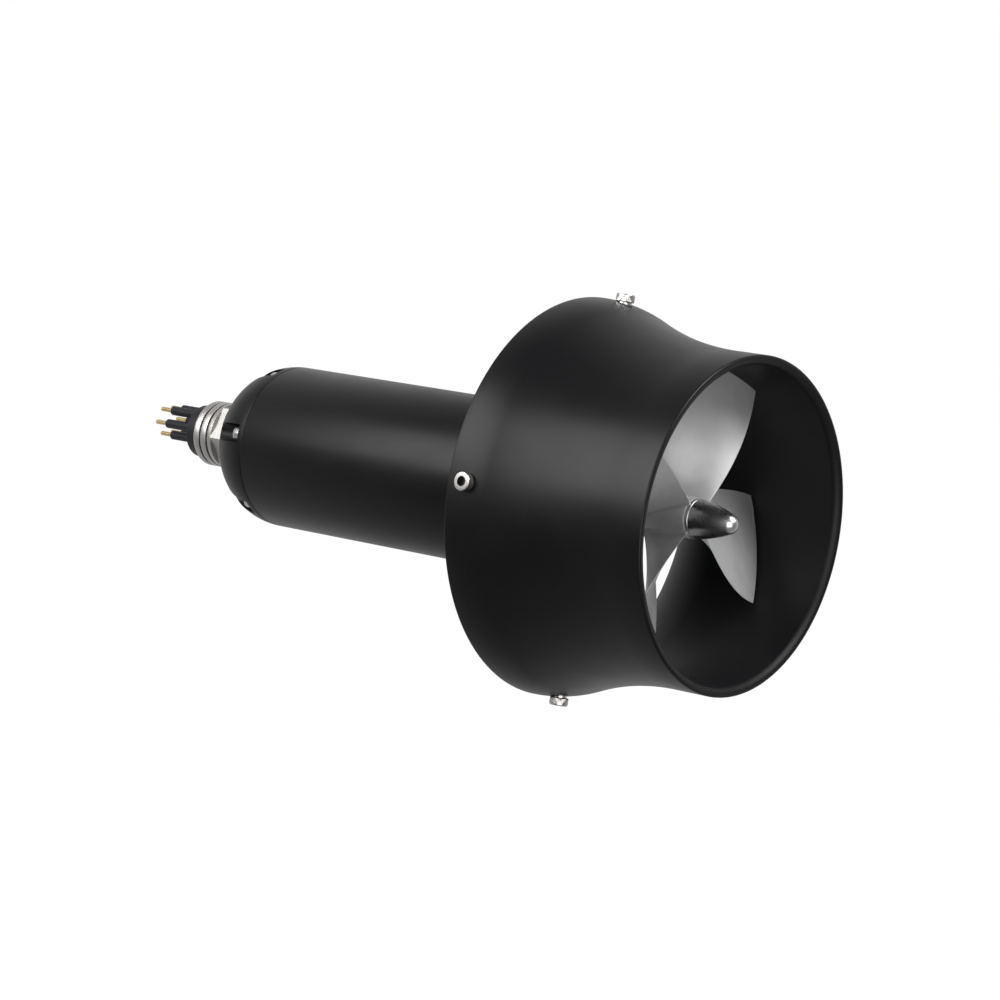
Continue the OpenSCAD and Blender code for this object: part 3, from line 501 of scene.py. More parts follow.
def socket_shade_group():
    """Mask of the painted socket shade: one within reach of the axes of four screws that point outward at a
    station, a right angle apart.
    """
    if "Screw socket shade" in bpy.data.node_groups:
        return bpy.data.node_groups["Screw socket shade"]
    inputs = [("Station", 0.0), ("Cosine", 1.0), ("Sine", 0.0), ("Reach", 0.0015)]
    tree, given, put = group("Screw socket shade", inputs, ["Mask"])
    x, y, z = parts_of(tree, given.outputs["Vector"])
    c, s = given.outputs["Cosine"], given.outputs["Sine"]

    def mixed(operation, one, other):
        both = [math_node(tree, "MULTIPLY", *pair) for pair in (one, other)]
        return math_node(tree, "ABSOLUTE", math_node(tree, operation, *both))

    across = math_node(
        tree, "MINIMUM", mixed("ADD", (y, c), (z, s)), mixed("SUBTRACT", (z, c), (y, s))
    )
    beside = math_node(tree, "SUBTRACT", x, given.outputs["Station"])
    inside = math_node(tree, "LESS_THAN", length_of(tree, beside, across), given.outputs["Reach"])
    tree.links.new(inside, put.inputs["Mask"])
    return tree


def band_group():
    """Even bands along the long axis, such as wound wire or stacked sheets."""
    if "Even bands" in bpy.data.node_groups:
        return bpy.data.node_groups["Even bands"]
    tree, given, put = group("Even bands", [("Spacing", 0.0005)], ["Height"])
    wave = add(tree, "ShaderNodeTexWave", bands_direction="X", wave_profile="SIN")
    wave.inputs["Distortion"].default_value = 0.4
    wave.inputs["Detail"].default_value = 1.0
    tree.links.new(given.outputs["Vector"], wave.inputs["Vector"])
    tree.links.new(math_node(tree, "DIVIDE", 0.314, given.outputs["Spacing"]), wave.inputs["Scale"])
    tree.links.new(wave.outputs["Fac"], put.inputs["Height"])
    return tree


# Finishes


def start_finish(name):
    """A material with its shader, and the place that its patterns are read from."""
    mat = bpy.data.materials.new(name)
    mat.use_nodes = True
    return mat, *opened(mat)


def opened(mat):
    tree = mat.node_tree
    where = add(tree, "ShaderNodeTexCoord").outputs["Object"]
    return tree, tree.nodes["Principled BSDF"], where


def use(tree, pattern, where, **values):
    node = add(tree, "ShaderNodeGroup", node_tree=pattern)
    tree.links.new(where, node.inputs["Vector"])
    for key, value in values.items():
        node.inputs[key].default_value = value
    return node


def between(tree, mask, low, high):
    """Value that goes from low to high with a mask."""
    node = add(tree, "ShaderNodeMapRange")
    node.inputs["To Min"].default_value = low
    node.inputs["To Max"].default_value = high
    tree.links.new(mask, node.inputs["Value"])
    return node.outputs["Result"]


def tint(tree, mask, low, high):
    """Colour that goes from low to high with a mask."""
    node = add(tree, "ShaderNodeMix", data_type="RGBA")
    node.inputs["A"].default_value = (*low, 1.0)
    node.inputs["B"].default_value = (*high, 1.0)
    tree.links.new(mask, node.inputs["Factor"])
    return node.outputs["Result"]


def shade(rgb, factor):
    return tuple(min(1.0, c * factor) for c in rgb)


def relief(tree, shader, height, strength, distance):
    bump = add(tree, "ShaderNodeBump")
    bump.inputs["Strength"].default_value = strength
    bump.inputs["Distance"].default_value = distance
    tree.links.new(height, bump.inputs["Height"])
    tree.links.new(bump.outputs["Normal"], shader.inputs["Normal"])


def coated_finish(name, rgb, rough, specular, grain, contrast=0.25, depth=0.00002):
    """Matt or satin coat with fine grain and soft marks of handling."""
    mat, tree, shader, where = start_finish(name)
    fine = use(tree, grain_group(), where, Size=grain)
    marks = use(tree, handling_group(), where, Size=0.03)
    tone = tint(tree, fine.outputs["Tone"], shade(rgb, 1 - contrast), shade(rgb, 1 + contrast))
    tree.links.new(tone, shader.inputs["Base Color"])
    tree.links.new(between(tree, marks.outputs["Mask"], *rough), shader.inputs["Roughness"])
    shader.inputs["Specular IOR Level"].default_value = specular
    relief(tree, shader, fine.outputs["Height"], 0.25, depth)
    return mat


def metal_finish(name, rgb, rough, spacing, depth=0.000004, contrast=0.08, metallic=1.0):
    """Bare metal with the fine rings of turning and soft marks of handling."""
    mat, tree, shader, where = start_finish(name)
    rings = use(tree, turning_group(), where, Spacing=spacing)
    marks = use(tree, handling_group(), where, Size=0.012)
    tone = tint(tree, marks.outputs["Mask"], shade(rgb, 1 + contrast / 2), shade(rgb, 1 - contrast))
    tree.links.new(tone, shader.inputs["Base Color"])
    blend = math_node(
        tree,
        "ADD",
        math_node(tree, "MULTIPLY", rings.outputs["Height"], 0.5),
        math_node(tree, "MULTIPLY", marks.outputs["Mask"], 0.5),
    )
    tree.links.new(between(tree, blend, *rough), shader.inputs["Roughness"])
    shader.inputs["Metallic"].default_value = metallic
    relief(tree, shader, rings.outputs["Height"], 0.2, depth)
    return mat


def blend_in(tree, socket, mask, value):
    """Changes a linked input to another value where the mask is one."""
    colour_input = socket.type == "RGBA"
    blend = add(tree, "ShaderNodeMix", data_type="RGBA" if colour_input else "FLOAT")
    ends = [item for item in blend.inputs if item.type == socket.type and item.name in ("A", "B")]
    tree.links.new(mask, blend.inputs["Factor"])
    tree.links.new(socket.links[0].from_socket, ends[0])
    ends[1].default_value = (*value, 1.0) if colour_input else value
    result = next(item for item in blend.outputs if item.type == socket.type)
    tree.links.new(result, socket)


def duct_finish(name, rgb, rough, bore_painted_light_rgb, bore_rough, specular, grain):
    """Satin coat of the duct, duller in its bore than outside, with painted light: a lighter black in the
    bore.
    """
    mat = coated_finish(name, rgb, rough, specular, grain)
    tree, shader, where = opened(mat)
    start = DUCT_LOW[0]
    middle_of_wall = {"Start": start, "End": start + 0.024, "Near": 0.0598, "Far": 0.049}
    bore = use(tree, under_group(), where, **middle_of_wall)
    # Painted light: the bore gets a lighter copy of the black than the coat outside
    blend_in(tree, shader.inputs["Base Color"], bore.outputs["Mask"], bore_painted_light_rgb)
    blend_in(tree, shader.inputs["Roughness"], bore.outputs["Mask"], bore_rough)
    return mat


def screw_finish(name, rgb, rough, spacing):
    """Steel of the duct screws, with painted shade darkening their sockets."""
    mat = metal_finish(name, rgb, rough, spacing)
    tree, shader, where = opened(mat)
    p = plan()
    turn, station = math.radians(p.strut_angle), along(p.strut).translation.x
    axes = {"Station": station, "Cosine": math.cos(turn), "Sine": math.sin(turn)}
    socket = use(tree, socket_shade_group(), where, Reach=1.55 * MM, **axes)
    # Painted shade: inside the sockets the steel is a tenth as bright
    blend_in(tree, shader.inputs["Base Color"], socket.outputs["Mask"], shade(rgb, 0.1))
    return mat


def groove_shade_finish(name, rgb, rough, spacing):
    """Turned steel with painted shade darkening its grooves."""
    mat = metal_finish(name, rgb, rough, spacing)
    tree, shader, where = opened(mat)
    p = plan()
    base = along(p.seat - p.flats_l).translation.x
    low = (p.shell_r - 0.3) * MM
    groove = use(tree, under_group(), where, Start=base - 0.00002, End=base, Near=low, Far=0.0)
    # Painted shade: under the land radius, in front of the wrench base, the steel is 0.4 as bright
    blend_in(tree, shader.inputs["Base Color"], groove.outputs["Mask"], shade(rgb, 0.4))
    return mat


def banded_finish(name, rgb, rough, spacing, metallic, contrast=0.3, depth=0.00004):
    """Stacked sheets or wound wire: even bands with a change of tone in their gaps."""
    mat, tree, shader, where = start_finish(name)
    bands = use(tree, band_group(), where, Spacing=spacing)
    marks = use(tree, handling_group(), where, Size=0.01)
    tone = tint(tree, bands.outputs["Height"], shade(rgb, 1 - contrast), rgb)
    tree.links.new(tone, shader.inputs["Base Color"])
    tree.links.new(between(tree, marks.outputs["Mask"], *rough), shader.inputs["Roughness"])
    shader.inputs["Metallic"].default_value = metallic
    relief(tree, shader, bands.outputs["Height"], 0.4, depth)
    return mat


def finish(slot):
    """The finish of a material slot or of one kind of piece, made when it is first asked for."""
    name = slot + "_finish"
    if name in bpy.data.materials:
        return bpy.data.materials[name]
    colours = bpy.context.scene.thruster_finishes
    black, steel = colours.anodised, colours.stainless
    satin, sheen, grain = (0.32, 0.37), 0.27, 0.00018
    kinds = {
        "black_anodised": (coated_finish, black, satin, sheen, grain),
        # The bore colour here, the black 1.6 times as bright, is painted light
        "duct_black": (duct_finish, black, satin, shade(black, 1.6), 0.46, sheen, grain),
        "stainless": (metal_finish, steel, (0.20, 0.32), 0.00012),
        "screw_steel": (screw_finish, steel, (0.24, 0.34), 0.00012),
        "turned_steel": (groove_shade_finish, shade(steel, 0.9), (0.36, 0.45), 0.00012),
        "satin_steel": (metal_finish, (0.70, 0.70, 0.70), (0.24, 0.30), 0.00008),
        "propeller_metal": (metal_finish, colours.propeller, (0.36, 0.44), 0.0002),
        "black_rubber": (coated_finish, colours.rubber, (0.42, 0.55), 0.35, 0.00012),
        "gold_contact": (metal_finish, colours.gold, (0.24, 0.34), 0.00008),
        "bearing_steel": (metal_finish, (0.55, 0.55, 0.56), (0.1, 0.2), 0.0001),
        "bare_aluminium": (metal_finish, (0.62, 0.63, 0.64), (0.28, 0.4), 0.00015),
        "lamination_steel": (banded_finish, (0.30, 0.31, 0.33), (0.38, 0.5), 0.0005, 0.8),
        "copper_winding": (banded_finish, (0.52, 0.20, 0.07), (0.25, 0.38), 0.0006, 0.7),
        "magnet": (metal_finish, (0.50, 0.50, 0.49), (0.22, 0.34), 0.0002),
        "board_green": (coated_finish, (0.010, 0.085, 0.035), (0.25, 0.4), 0.45, 0.0006),
        "black_component": (coated_finish, (0.012, 0.012, 0.013), (0.45, 0.6), 0.4, 0.0001),
        "capacitor_sleeve": (coated_finish, (0.030, 0.036, 0.085), (0.28, 0.4), 0.45, 0.0004),
        "wire_insulation": (coated_finish, (0.38, 0.028, 0.024), (0.35, 0.5), 0.4, 0.0003),
    }
    extras = {
        "satin_steel": {"depth": 0.000002},
        "propeller_metal": {"metallic": 0.2},
        "black_rubber": {"depth": 0.00003},
        "board_green": {"contrast": 0.4},
    }
    make, *values = kinds[slot]
    return make(name, *values, **extras.get(slot, {}))


# Pieces


def socket_screw(name, end, under, top, head_r, knurled):
    """Turns an M3 screw along the long axis, with a plain or knurled head, and sinks its socket."""
    e, thread_r, top = 0.3, 1.5, top - 0.01
    screw = turned(
        name,
        [(end, 0), (end, thread_r - 0.3), (end + 0.4, thread_r), (under, thread_r)]
        + [(under, head_r - 0.15), (under + 0.15, head_r)]
        + [(top - 0.7, head_r), (top - 0.45, head_r - 0.04)]
        + arc(top - e, head_r - e - 0.04, e, 60, 0, 5)
        + [(top, 0)],
        steps=80,
    )
    if knurled:
        knurl(screw, under + 0.1, top - 0.65, head_r - 0.02)
    socket_flats, socket_depth = 2.5, 1.5
    carve(screw, prism("socket_tool", hexagon(socket_flats, 20), top - socket_depth, top + 1))
    return screw


def knurl(screw, start, end, radius):
    """Sinks every other line of points round the head of a screw."""
    step, sunk = 4.5, 0.965
    pick(screw)
    bpy.ops.object.mode_set(mode="EDIT")
    bpy.ops.mesh.select_all(action="DESELECT")
    bpy.ops.object.mode_set(mode="OBJECT")
    for v in screw.data.vertices:
        on_head = start < v.co.x / MM < end and math.hypot(v.co.y, v.co.z) / MM > radius
        turn = math.degrees(math.atan2(v.co.z, v.co.y)) % 360
        v.select = on_head and round(turn / step) % 2 == 1
    bpy.ops.object.mode_set(mode="EDIT")
    bpy.ops.transform.resize(value=(1, sunk, sunk), center_override=(0, 0, 0))
    bpy.ops.object.mode_set(mode="OBJECT")


class THRUSTER_OT_housing(bpy.types.Operator):
    """Turns the motor housing tube"""

    bl_idname = "thruster.housing"
    bl_label = "Housing tube"

    def execute(self, context):
        p = plan()
        e = p.edge
        rib, rib_r, ring, ring_r = 39.0, p.bore - 1.5, 24.0, p.bore + 0.9
        tube = turned(
            "housing_tube",
            [(0, p.bore), (0, p.tube_r - e)]
            + arc(e, p.tube_r - e, e, 180, 90, 5)
            + arc(p.tube_l - e, p.tube_r - e, e, 90, 0, 5)
            + [(p.tube_l, p.bore), (rib, p.bore), (rib, rib_r), (rib - 6, rib_r), (rib - 6, p.bore)]
            + [(ring, p.bore), (ring, ring_r), (ring - 1.2, ring_r), (ring - 1.2, p.bore), (0, p.bore)],
            steps=192,
        )
        place(tube, along(0))
        hand_over(tube, "thruster", "black_anodised", finish("black_anodised"), "motor_housing")
        return {"FINISHED"}


class THRUSTER_OT_rear_cap(bpy.types.Operator):
    """Turns the domed rear cap and cuts its screw notches"""

    bl_idname = "thruster.rear_cap"
    bl_label = "Rear cap"

    def execute(self, context):
        p = plan()
        e, spigot, groove, hole = 0.25, p.bore - SLIDE, p.bore - 1.5, SHANK_R + SLIDE
        meet = math.degrees(math.atan2(p.dome_inset, -p.dome))
        last = math.degrees(math.acos((p.seat - p.dome) / p.pole_r))
        cap = turned(
            "rear_cap_dome",
            arc(-e, p.tube_r - e, e, 0, 90, 5)
            + arc(0, p.dome_inset, p.rim_r, 91, meet, 40)
            + arc(p.dome, 0, p.pole_r, meet, last, 20)[1:]
            + [(p.seat, hole), (-13, hole), (-13, 14), (8, 14), (8, spigot - 0.4), (7.6, spigot)]
            + [(5, spigot), (5, groove), (3, groove), (3, spigot), (0, spigot), (0, p.tube_r - e)],
            steps=192,
        )
        place(cap, along(0))
        places = cap_screw_places(p)
        slot = [(y, z) for z, y in arc(0, 0, p.notch_r, 0, -180, 33)]
        slot += [(9, -p.notch_r), (9, p.notch_r)]
        notch = prism("notch_tool", slot, -p.tube_r - 1, -p.notch_floor)
        carve(cap, copies(notch, places))
        drill = turned("hole_tool", [(-5, 0), (-5, SCREW_HOLE), (1, SCREW_HOLE), (1, 0)], steps=48)
        carve(cap, copies(drill, places))
        hand_over(cap, "thruster", "black_anodised", finish("black_anodised"), "rear_cap")
        return {"FINISHED"}


class THRUSTER_OT_cap_screws(bpy.types.Operator):
    """Makes the socket-head screws of the rear cap"""

    bl_idname = "thruster.cap_screws"
    bl_label = "Rear cap screws"

    def execute(self, context):
        p = plan()
        end, under = -7.0, p.notch_floor
        screw = socket_screw("rear_cap_screws", end, under, under + p.head_h, p.head_r, False)
        about = Matrix.Rotation(math.pi, 4, "Z")
        copies(screw, [matrix @ about for matrix in cap_screw_places(p)])
        hand_over(screw, "thruster", "stainless", finish("stainless"), "cap_screws")
        return {"FINISHED"}


class THRUSTER_OT_connector(bpy.types.Operator):
    """Makes the connector shell, its rubber insert and the contact pins"""

    bl_idname = "thruster.connector"
    bl_label = "Connector"

    def execute(self, context):
        p = plan()
        self.shell(p)
        self.insert(p)
        self.pins(p)
        return {"FINISHED"}

    def shell(self, p):
        """Turns the grooved shell and unites it with its wrench base."""
        base = p.seat - p.flats_l
        low = p.shell_r - p.shell_groove
        core, bore, rim = p.flats / 2 - 0.2, SHANK_BORE + SLIDE, 0.6
        profile = [(p.shell_end, bore), (p.shell_end, p.shell_r - rim)]
        profile += arc(p.shell_end + rim, p.shell_r - rim, rim, 180, 90, 7)
        e, width = 0.15, 0.8
        for start in (p.shell_end + p.shell_land, base - 2.35):
            end = start + width
            profile += arc(start - e, p.shell_r - e, e, 90, 0, 4) + [(start, low), (end, low)]
            profile += arc(end + e, p.shell_r - e, e, 180, 90, 4)
        profile += [(base + 0.05, p.shell_r), (base + 0.05, core), (p.seat, core), (p.seat, SHANK_R)]
        profile += [(p.shank_end, SHANK_R), (p.shank_end, bore), (p.shell_end, bore)]
        shell = turned("connector_body", profile, steps=160)
        corner, inside, back = p.flats / math.sqrt(3), 6.5, p.seat - 0.02
        limit = turned(
            "chamfer_tool",
            [(base, inside), (base, corner - 0.35), (base + 0.3, corner + 0.05)]
            + [(back, corner + 0.05), (back, inside), (base, inside)],
            steps=160,
        )
        wrench = prism("wrench_base", hexagon(p.flats, p.flats_angle), base - 1, p.seat + 1)
        carve(wrench, limit, "INTERSECT")
        carve(shell, wrench, "UNION")
        place(shell, along(0))
        hand_over(shell, "thruster", "stainless", finish("turned_steel"), "connector_shell")

    def pin_places(self, p):
        turns = [math.radians(turn) for turn in spaced(p.pin_angle, p.pin_count)]
        spots = [(p.pin_circle * math.cos(a), p.pin_circle * math.sin(a)) for a in turns]
        return [along(0, y, p.pin_rise + z) for y, z in spots]

    def insert(self, p):
        c = p.insert_bevel
        base = turned(
            "connector_rubber",
            [(p.insert_end, 0), (p.insert_end, p.insert_r - c - 0.2)]
            + arc(p.insert_end + 0.3, p.insert_r - c - 0.2, 0.3, 180, 135, 4)
            + arc(p.insert_end + c + 0.2, p.insert_r - 0.3, 0.3, 135, 90, 4)
            + [(p.shell_end + 0.1, p.insert_r), (p.shell_end + 0.1, SHANK_BORE)]
            + [(p.shank_end, SHANK_BORE), (p.shank_end, 0)],
            steps=128,
        )
        place(base, along(0))
        f = 0.3
        sleeve = turned(
            "pin_sleeve",
            [(p.insert_end + c, 0), (p.insert_end + c, p.sleeve_r + f)]
            + [(p.insert_end, p.sleeve_r + f)]
            + arc(p.insert_end - f, p.sleeve_r + f, f, 0, -90, 6)
            + arc(p.sleeve_end + 0.5, p.sleeve_r - 0.4, 0.4, 90, 165, 7)
            + [(p.sleeve_end, p.pin_r + 0.2), (p.sleeve_end + 0.25, p.pin_r + 0.03)]
            + [(p.sleeve_end + 0.8, p.pin_r + 0.03), (p.sleeve_end + 0.8, 0)],
            steps=48,
        )
        copies(sleeve, self.pin_places(p))
        join(base, [sleeve])
        hand_over(base, "thruster", "black_rubber", finish("black_rubber"), "connector_insert")

    def pins(self, p):
        e = 0.45
        pin = turned(
            "contact_pins",
            [(p.pin_end, 0), (p.pin_end, p.pin_r - e)]
            + arc(p.pin_end + e, p.pin_r - e, e, 180, 90, 7)
            + [(p.insert_end, p.pin_r), (p.insert_end, 0)],
            steps=40,
        )
        copies(pin, self.pin_places(p))
        hand_over(pin, "thruster", "gold_contact", finish("gold_contact"), "connector_pins")


class THRUSTER_OT_front_end(bpy.types.Operator):
    """Makes the front cap, the strut spider and the fairing cone"""

    bl_idname = "thruster.front_end"
    bl_label = "Front cap, struts and fairing"

    def execute(self, context):
        p = plan()
        black = finish("black_anodised")
        e, end_r = 0.2, 9.5
        slope = (p.flush_r - end_r) / (p.cone_end - p.cone_start)

        def cone(s):
            return p.flush_r - (s - p.cone_start) * slope

        neck, seat_r, seat_end = 16.5, 12.5, p.spider_end + 6
        start, spigot, step = p.tube_l - 12, p.bore - SLIDE, p.spider_end - 0.2
        bearing_r, seal_r, bearing_end = 11.1, 8.1, p.tube_l + 1
        cap = turned(
            "front_cap_body",
            [(start, bearing_r), (start, spigot), (p.tube_l, spigot)]
            + arc(p.tube_l + e, p.flush_r - e, e, 180, 90, 4)
            + arc(p.flange - e, p.flush_r - e, e, 90, 0, 4)
            + [(p.flange, neck), (step, neck), (step, seat_r), (seat_end, seat_r), (seat_end, seal_r)]
            + [(bearing_end, seal_r), (bearing_end, bearing_r), (start, bearing_r)],
            steps=160,
        )
        place(cap, along(0))
        hand_over(cap, "thruster", "black_anodised", black, "front_cap")

        ring_r = neck + SLIDE
        spider = turned(
            "strut_ring",
            [(p.flange, ring_r)]
            + arc(p.flange + e, p.flush_r - e, e, 180, 90, 4)
            + [(p.cone_start - 0.6, p.flush_r), (p.cone_start + 0.6, cone(p.cone_start + 0.6))]
            + [(p.spider_end, cone(p.spider_end)), (p.spider_end, ring_r), (p.flange, ring_r)],
            steps=160,
        )
        place(spider, along(0))
        lens = (p.strut_chord**2 + p.strut_t**2) / (4 * p.strut_t)
        half = math.degrees(math.asin(p.strut_chord / 2 / lens)) - 1.2
        outline = arc(0, p.strut_t / 2 - lens, lens, 90 - half, 90 + half, 17)
        outline += arc(0, lens - p.strut_t / 2, lens, 270 - half, 270 + half, 17)
        strut = prism("strut", outline, 20.0, self.wall_at(p, p.strut) + 1.2)
        copies(strut, strut_places(p))
        join(spider, [strut])
        hand_over(spider, "thruster", "black_anodised", black, "strut_spider")

        inside, shaft_r, curve = seat_r + SLIDE, 4.4, p.cone_end - 0.9
        fairing = turned(
            "fairing",
            [(p.spider_end, inside), (p.spider_end, cone(p.spider_end)), (curve, cone(curve))]
            + [(p.cone_end - 0.35, end_r - 0.05), (p.cone_end, end_r - 0.5)]
            + [(p.cone_end, shaft_r), (seat_end, shaft_r), (seat_end, inside), (p.spider_end, inside)],
            steps=160,
        )
        place(fairing, along(0))
        hand_over(fairing, "thruster", "black_anodised", black, "fairing_cone")
        return {"FINISHED"}

    def wall_at(self, p, station):
        """Inside radius of the duct at a station of its inlet curve."""
        back = p.inlet + p.bell_l - station
        return p.duct_bore + p.bell_r - math.sqrt(p.bell_r**2 - back**2)


class THRUSTER_OT_duct(bpy.types.Operator):
    """Turns the duct and cuts its screw seats"""

    bl_idname = "thruster.duct"
    bl_label = "Duct"

    def execute(self, context):
        p = plan()
        rise = p.outlet_r + p.waist_r - (p.inlet_r - p.flare_r)
        run = math.sqrt((p.flare_r + p.waist_r) ** 2 - rise**2)
        bend = math.degrees(math.asin(run / (p.flare_r + p.waist_r)))
        waist = p.inlet + run
        mouth = math.degrees(math.asin(p.bell_l / p.bell_r))
        e, rim, end = 0.35, 0.7, p.outlet - 0.005
        duct = turned(
            "duct_ring",
            arc(p.inlet + e, p.inlet_r - e, e, 180, 90, 6)
            + arc(p.inlet, p.inlet_r - p.flare_r, p.flare_r, 89, 90 - bend, 26)
            + arc(waist, p.outlet_r + p.waist_r, p.waist_r, 270 - bend, 270, 34)[1:]
            + arc(end - rim, p.outlet_r - rim, rim, 90, 0, 8)
            + arc(end - p.lip, p.duct_bore + p.lip, p.lip, 0, -90, 14)
            + arc(p.inlet + p.bell_l, p.duct_bore + p.bell_r, p.bell_r, 270, 270 - mouth + 1, 26)
            + arc(p.inlet + e, p.inlet_r - p.inlet_wall + e + 0.2, e, 240, 180, 4)
            + [(p.inlet, p.inlet_r - e)],
            steps=256,
        )
        place(duct, along(0))
        tight, over = p.ring_r + 0.2, p.spot + 6
        seat = turned(
            "screw_seat_tool",
            [(p.duct_bore, 0), (p.duct_bore, SCREW_HOLE), (p.spot, SCREW_HOLE)]
            + [(p.spot, tight), (over, tight), (over, 0)],
            steps=64,
        )
        carve(duct, copies(seat, strut_places(p)))
        hand_over(duct, "thruster", "black_anodised", finish("duct_black"), "duct")
        return {"FINISHED"}


class THRUSTER_OT_duct_screws(bpy.types.Operator):
    """Makes the knurled socket screws of the duct and their washers"""

    bl_idname = "thruster.duct_screws"
    bl_label = "Duct screws and washers"

    def execute(self, context):
        p = plan()
        places = strut_places(p)
        end, under, top = p.spot - 16, p.spot + p.ring_t, p.spot + p.ring_t + p.knurl_h
        screw = socket_screw("duct_socket_screws", end, under, top, p.knurl_r, True)
        copies(screw, places)
        hand_over(screw, "thruster", "stainless", finish("screw_steel"), "duct_screws")

        e, hole = 0.15, 1.6
        washer = turned(
            "duct_washer_rings",
            [(p.spot, hole)]
            + arc(p.spot + e, p.ring_r - e, e, 180, 90, 4)
            + arc(under - e, p.ring_r - e, e, 90, 0, 4)
            + [(under, hole), (p.spot, hole)],
            steps=64,
        )
        copies(washer, places)
        hand_over(washer, "thruster", "stainless", finish("stainless"), "duct_washers")
        return {"FINISHED"}


# Curves of a blade over its height, 0 at the hub and 1 at the tip, with the edges in degrees
INLET_LEAD, INLET_POWER, INLET_LAG = 15.85, 0.96, 1.4
OUTLET_LAG, OUTLET_POWER = 10.8, 1.94
THIN_POWER = 1.12
BEND_POWER, BEND_LESS = 4.4, 0.6
# Brings v * (1 - v) ** 2 to one where it is highest
FULLEST = 6.75
# Share of the edge thickness over which an edge is rounded
EDGE_SHARE = 0.6


class THRUSTER_OT_propeller(bpy.types.Operator):
    """Makes the propeller: hub and blades with filleted roots"""

    bl_idname = "thruster.propeller"
    bl_label = "Propeller"

    def execute(self, context):
        p = plan()
        e = 0.3
        hub = turned(
            "propeller_hub_and_blades",
            [(p.hub_start, SHAFT_HOLE)]
            + arc(p.hub_start + e, p.hub_r - e, e, 180, 90, 5)
            + arc(p.hub_end - e, p.hub_r - e, e, 90, 0, 5)
            + [(p.hub_end, SHAFT_HOLE), (p.hub_start, SHAFT_HOLE)],
            steps=128,
        )
        half, reach, pin_angle = 1.0 + SLIDE, 8, p.blade_angle + 47
        outline = [(-half, -reach), (half, -reach), (half, reach), (-half, reach)]
        slot = prism("pin_slot_tool", outline, p.hub_start - 1, p.hub_start + 2.7)
        place(slot, round_the_axis(pin_angle - 90))
        carve(hub, slot)
        place(hub, along(0))
        blade = self.blade(p)
        copies(blade, [round_the_axis(turn) for turn in spaced(0, p.blade_count)])
        join(hub, [blade])
        hand_over(hub, "rotor", "propeller_metal", finish("propeller_metal"), "propeller")
        return {"FINISHED"}

    def section(self, p, r, share):
        """Point of the blade section at a radius: share runs once round it, from the inlet edge and back."""
        u = max(0.0, (r - p.hub_r) / (p.blade_r - p.hub_r))
        short = max(0.0, 1 - u)
        first = INLET_LEAD * short**INLET_POWER - INLET_LAG
        last = -p.tip_sweep - OUTLET_LAG * (1 - u**OUTLET_POWER)
        far = share > 0.5
        v = (1 - math.cos(math.pi * (2 - 2 * share if far else 2 * share))) / 2
        thick = p.root_t + (p.tip_t - p.root_t) * u**THIN_POWER
        fullness = FULLEST * v * (1 - v) ** 2
        t = p.edge_t + (thick - p.edge_t) * fullness
        end = min(v, 1 - v) * math.radians(first - last) * max(r, p.hub_r)
        round_off = math.sqrt(max(0.0, 1 - (1 - min(1.0, end / (p.edge_t * EDGE_SHARE))) ** 2))
        side = 0.5 + (0.5 if far else -0.5) * round_off
        near = max(0.0, p.root_fillet - max(0.0, r - p.hub_r))
        swell = p.root_fillet - math.sqrt(p.root_fillet**2 - near**2) if near > 0 else 0.0
        t = t * side + swell * (1 if far else -1) * round_off
        turn = first + v * (last - first)
        helix = p.pitch / 360
        rad = helix * 180 / math.pi
        slope = math.hypot(r, rad)
        a = math.radians(p.blade_angle + turn - math.degrees(t * rad / slope / r))
        bend = (p.inlet_bend * short**BEND_POWER - BEND_LESS) * (1 - v) ** 2
        s = p.blade_station + p.tube_l - helix * turn - t * r / slope - bend
        return Vector((SEAM + s * MM, r * math.cos(a) * MM, r * math.sin(a) * MM))

    def blade(self, p):
        """Wraps a grid round the blade sections, closes its seam and fills the tip."""
        grid = {"x_subdivisions": 96, "y_subdivisions": 52}
        clear_selection()
        bpy.ops.mesh.primitive_grid_add(size=1, location=(0, 0, 0), **grid)
        blade = bpy.context.object
        blade.name = blade.data.name = "blade"
        root = p.hub_r - 0.6
        for v in blade.data.vertices:
            share = v.co.x + 0.5
            row = v.co.y + 0.5
            r = root + (p.blade_r - root) * (1 - math.cos(math.pi * row)) / 2
            v.co = self.section(p, r, min(max(share, 0.0), 1.0))
        bpy.ops.object.mode_set(mode="EDIT")
        bpy.ops.mesh.select_all(action="SELECT")
        bpy.ops.mesh.remove_doubles(threshold=MERGE)
        bpy.ops.mesh.select_all(action="DESELECT")
        bpy.ops.mesh.select_non_manifold(extend=False)
        bpy.ops.mesh.edge_face_add()
        close_up(40)
        return blade


